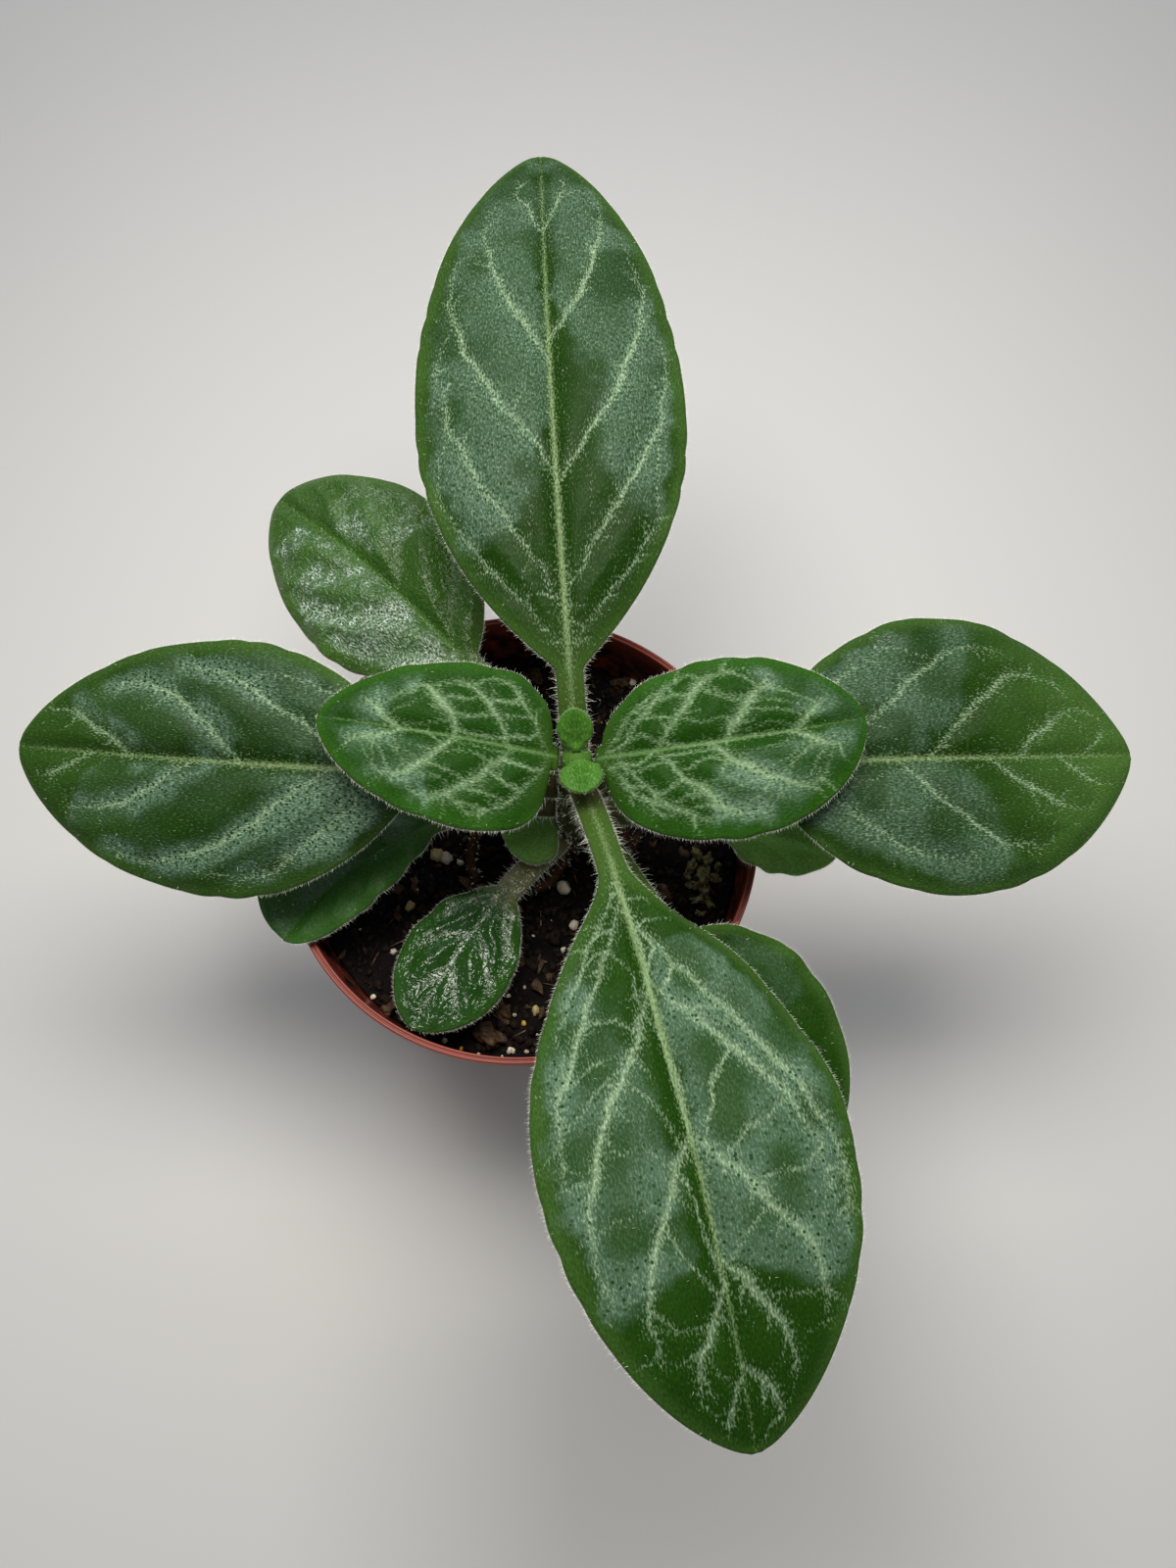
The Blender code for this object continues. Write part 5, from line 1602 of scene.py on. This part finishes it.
# The seventh colour of each skin is a painted highlight, for the glinting cells.
SKINS = {
    # name, seven colours, roughness, gloss, height of the cobbles, height and size of the wrinkles
    "silvered": Skin(
        "silvered_leaf_cuticle", "#1d3e08", "#42642a", "#3c561f", "#869f6e", "#90ab86", "#56745e", "#c8dac2",
        0.5, 0.07, 0.10, 0.08, glints_on_silver=0.3, speckle=0.4, grain=0.46),
    "speckled": Skin(
        "speckled_leaf_cuticle", "#193704", "#42642a", "#3c561f", "#869f6e", "#8aa680", "#5e7c68", "#c8dac2",
        0.45, 0.1, 0.10, 0.08, glints_on_silver=0.4, speckle=0.65, dots=1.3),
    "young": Skin(
        "young_leaf_cuticle", "#1d420a", "#33601c", "#3c561f", "#6a8c55", "#8aa97c", "#6b8b75", "#c4d6be",
        0.5, 0.07, 0.08, 0.05, glints_on_silver=0.5, speckle=0.5, dots=1.4, grain=0.34),
    "bud": Skin(
        "leaf_bud_cuticle", "#35641b", "#4b7a2b", "#4b7a2b", "#5f8a38", "#6f924f", "#4b7a2b", "#8fae6f",
        0.5, 0.12, 0.06, 0.03, painted_sparkle=0.3),
    "puckered": Skin(
        "puckered_leaf_cuticle", "#335916", "#496c28", "#41591f", "#4d7530", "#5c7a4c", "#9ab3a4", "#f2f8f0",
        0.2, 0.45, 0.12, 0.6, 1.3, painted_sparkle=0.9, broken=0.5, glints_on_silver=0.8, speckle=0.9, dots=1.0),
    "glossy": Skin(
        "glossy_leaf_cuticle", "#1b430a", "#2b5815", "#8a845c", "#2a5414", "#33601f", "#5c7a62", "#8fae8f",
        0.1, 0.7, 0.04, 0.4, 1.3),
    # Painted light: the old and the shaded skins are painted lighter than the leaves above, for low leaves in
    # their shade.
    "old_painted_light": Skin(
        "old_leaf_cuticle", "#6a9844", "#7ca855", "#4d5a2c", "#76a05a", "#55744a", "#46604e", "#7f9a78",
        0.45, 0.15, 0.08, 0.08),
    "shaded": Skin(
        "shaded_leaf_cuticle", "#2a5418", "#3d6a28", "#4d5a2c", "#456a34", "#55744a", "#6c7f70", "#7f9078",
        0.45, 0.2, 0.08, 0.08),
}
cuticles = {name: upper_skin(skin) for name, skin in SKINS.items()}

# %% [markdown]
# The lower skin is paler, duller and without silver, with the rib and the veins raised and light.

# %% Lower skin
DOWN_SIZE = 0.5
DOWN_HEIGHT = 0.08

under_skin, tree, shader = new_material("leaf_underside")
place = add_node(tree, "ShaderNodeTexCoord").outputs["Object"]
felt = add_node(tree, "ShaderNodeTexNoise", {"Vector": place, "Scale": per_mm(DOWN_SIZE), "Detail": 2.0})
green = add_node(tree, "ShaderNodeMix", {0: felt, 6: linear("#3c5a28"), 7: linear("#5f7c47")},
                 data_type="RGBA")
vein_mark, rib_mark = (add_node(tree, "ShaderNodeAttribute", attribute_name=label).outputs["Fac"]
                       for label in ("vein", "rib"))
raised = add_node(tree, "ShaderNodeMath", {0: vein_mark, 1: rib_mark}, operation="MAXIMUM")
lined = add_node(tree, "ShaderNodeMix", {0: raised, 6: green, 7: linear("#8d9c66")}, data_type="RGBA")
relief = add_node(tree, "ShaderNodeBump", {"Height": felt, "Distance": DOWN_HEIGHT * MM, "Strength": 1.0})
plug(tree, shader, {"Base Color": lined, "Roughness": 0.6, "Normal": relief})
print(under_skin.name)

# %% Grow the leaves
leaves = {}
for seed, leaf in enumerate(LEAVES):
    made, rimmed = make_leaf(leaf, seed)
    made.data.materials.append(cuticles[leaf.skin])
    made.data.materials.append(under_skin)
    leaves[leaf.name] = (leaf, made, rimmed)
print("leaves grown:", len(leaves))

# %% [markdown]
# ## The hairs
#
# A fringe of short white hairs stands along every margin, with longer ones among them, longest and
# closest on the stalks, and a thin down covers the skins, the stem and the dry stalks. A real hair is
# about 0.05 mm thick, too fine to show, so these are up to twice that at the root. One hair is a slim
# bent cone with three sides. One tree sets hairs along a margin, and another over a surface.

# %% One hair
hair_shape, given, result = new_tree("One hair", Slenderness="Float", Bend="Float")
spike = add_node(hair_shape, "GeometryNodeMeshCone",
                 {"Vertices": 3, "Side Segments": 2, "Radius Top": 0.0, "Radius Bottom": given["Slenderness"],
                  "Depth": 1.0})
parts = add_node(hair_shape, "ShaderNodeSeparateXYZ", {0: add_node(hair_shape, "GeometryNodeInputPosition")})
square = add_node(hair_shape, "ShaderNodeMath", {0: parts.outputs["Z"], 1: 2.0}, operation="POWER")
leant = add_node(hair_shape, "ShaderNodeMath", {0: square, 1: given["Bend"]}, operation="MULTIPLY")
offset = add_node(hair_shape, "ShaderNodeCombineXYZ", {0: leant})
bent = add_node(hair_shape, "GeometryNodeSetPosition", {"Geometry": spike, "Offset": offset})
plug(hair_shape, result, {"Geometry": bent})
print("One hair:", len(hair_shape.nodes), "nodes")


# %% Hairs on points
def plant_hairs(tree, given, result, points, normal):
    """The end of both hair trees: a hair on each point, of random length and leaning at random."""
    single = add_node(tree, "GeometryNodeGroup",
                      {"Slenderness": given["Slenderness"], "Bend": given["Bend"]}, node_tree=hair_shape)
    lean_low = add_node(tree, "ShaderNodeMath", {0: given["Lean"], 1: -1.0}, operation="MULTIPLY")
    stray = add_node(tree, "FunctionNodeRandomValue", {0: lean_low, 1: given["Lean"], "Seed": given["Seed"]},
                     data_type="FLOAT_VECTOR")
    way = add_node(tree, "ShaderNodeVectorMath", {0: normal, 1: stray}, operation="ADD")
    stand = add_node(tree, "FunctionNodeAlignRotationToVector", {"Vector": way}, axis="Z")
    twist = add_node(tree, "FunctionNodeRandomValue", {2: 0.0, 3: 2.0 * math.pi, "Seed": given["Seed"]},
                     data_type="FLOAT")
    spin = add_node(tree, "FunctionNodeAxisAngleToRotation", {"Axis": (0.0, 0.0, 1.0), "Angle": twist})
    turned_hair = add_node(tree, "FunctionNodeRotateRotation", {"Rotation": stand, "Rotate By": spin},
                           rotation_space="LOCAL")
    lengths = add_node(tree, "FunctionNodeRandomValue",
                       {2: given["Shortest"], 3: given["Longest"], "Seed": given["Seed"]}, data_type="FLOAT")
    where = add_node(tree, "GeometryNodeInputNamedAttribute", {"Name": "hair_length"}, data_type="FLOAT")
    long = add_node(tree, "ShaderNodeMath", {0: lengths, 1: where}, operation="MULTIPLY")
    planted = add_node(tree, "GeometryNodeInstanceOnPoints",
                       {"Points": points, "Instance": single, "Rotation": turned_hair, "Scale": long})
    end_tree(tree, planted, given, result)


HAIR_SIZES = dict(Skin="Geometry", Amount="Float", Shortest="Float", Longest="Float", Slenderness="Float",
                  Bend="Float", Lean="Float", Seed="Int", Material="Material")

fringe, given, result = new_tree("Hairs along a margin", **HAIR_SIZES)
chosen = add_node(fringe, "GeometryNodeInputNamedAttribute", {"Name": "margin_line"}, data_type="BOOLEAN")
line = add_node(fringe, "GeometryNodeMeshToCurve", {"Mesh": given["Skin"], "Selection": chosen})
spots = add_node(fringe, "GeometryNodeCurveToPoints", {"Curve": line, "Length": given["Amount"]},
                 mode="LENGTH")
out = add_node(fringe, "GeometryNodeInputNamedAttribute", {"Name": "outward"}, data_type="FLOAT_VECTOR")
plant_hairs(fringe, given, result, spots, out)

downy, given, result = new_tree("Down over a skin", **HAIR_SIZES)
where = add_node(downy, "GeometryNodeInputNamedAttribute", {"Name": "downiness"}, data_type="FLOAT")
density = add_node(downy, "ShaderNodeMath", {0: where, 1: given["Amount"]}, operation="MULTIPLY")
spots = add_node(downy, "GeometryNodeDistributePointsOnFaces",
                 {"Mesh": given["Skin"], "Density": density, "Seed": given["Seed"]},
                 distribute_method="RANDOM")
kept = add_node(downy, "GeometryNodeStoreNamedAttribute",
                {"Geometry": spots, "Name": "outward", "Value": spots.outputs["Normal"]},
                data_type="FLOAT_VECTOR", domain="POINT")
out = add_node(downy, "GeometryNodeInputNamedAttribute", {"Name": "outward"}, data_type="FLOAT_VECTOR")
plant_hairs(downy, given, result, kept, out)

# %% Hair
# A real hair passes on the light that falls on it from behind. A cone this thin can't, so it gives off a
# little light of its own instead.
hair, tree, shader = new_material("leaf_hair")
plug(tree, shader, {"Base Color": linear("#e6ecd8"), "Roughness": 0.45, "Specular IOR Level": 0.6,
                    "Emission Color": linear("#eef2e4"), "Emission Strength": 0.16})
print(hair.name)

# %% Say where hairs grow
FRINGE = dict(Amount=0.26 * MM, Shortest=0.3 * MM, Longest=0.75 * MM, Slenderness=0.055, Bend=0.2, Lean=0.5,
              Material=hair)
LONG_HAIRS = dict(Amount=0.65 * MM, Shortest=0.6 * MM, Longest=1.6 * MM, Slenderness=0.02, Bend=0.2, Lean=0.5,
                  Material=hair)
DOWN = dict(Amount=1.0e6, Shortest=0.35 * MM, Longest=0.8 * MM, Slenderness=0.05, Bend=0.3, Lean=0.6,
            Material=hair)
STALK_HAIR = 1.5
BLADE_HAIR = 0.8
BUD_HAIR = 0.5
STEM_HAIR = 1.3
BLADE_DOWN = 0.05
STALK_DOWN = 0.12
STEM_DOWN = 0.5

for seed, (leaf, made, rimmed) in enumerate(leaves.values()):
    mesh = made.data
    ends = np.zeros(2 * len(mesh.edges), int)
    mesh.edges.foreach_get("vertices", ends)
    mark(mesh, "margin_line", "BOOLEAN", rimmed[ends.reshape(-1, 2)].all(axis=1), "EDGE")
    stalk = np.zeros(len(mesh.vertices))
    mesh.attributes["stalk"].data.foreach_get("value", stalk)
    small = BUD_HAIR if leaf.foot > STEM_TOP else 1.0
    mark(mesh, "hair_length", "FLOAT", np.full(len(stalk), small))
    mark(mesh, "downiness", "FLOAT", BLADE_DOWN + (STALK_DOWN - BLADE_DOWN) * stalk)
    settle(grow(leaf.name + "_fringe", made, fringe, Seed=seed, **FRINGE), "leaf")
    settle(grow(leaf.name + "_down", made, downy, Seed=seed + 50, **DOWN), "leaf")
    mark(mesh, "hair_length", "FLOAT", small * (BLADE_HAIR + (STALK_HAIR - BLADE_HAIR) * stalk))
    settle(grow(leaf.name + "_long_hairs", made, fringe, Seed=seed + 20, **LONG_HAIRS), "leaf")
    settle(made, "young_leaf" if leaf.skin in ("young", "bud") else "leaf", leaf.name)

# %% Hairs of the stem and the dry stalks
for number, piece in enumerate([stem, *stalks]):
    count = len(piece.data.vertices)
    mark(piece.data, "hair_length", "FLOAT", np.full(count, STEM_HAIR))
    mark(piece.data, "downiness", "FLOAT", np.full(count, STEM_DOWN))
    settle(grow(piece.name + "_down", piece, downy, Seed=number + 90, **DOWN), "stem")
settle(stem, "stem", "stem")
for stalk in stalks:
    settle(stalk, "stem")

# %% [markdown]
# ## Close the lesson
#
# The shapes that were strewn have done their work and go.

# %% Clear up
for group in (crumb_shapes, grain_shapes, chip_shapes, nugget_shapes, fibre_shapes):
    for shape in list(group.objects):
        bpy.data.objects.remove(shape)
    bpy.data.collections.remove(group)
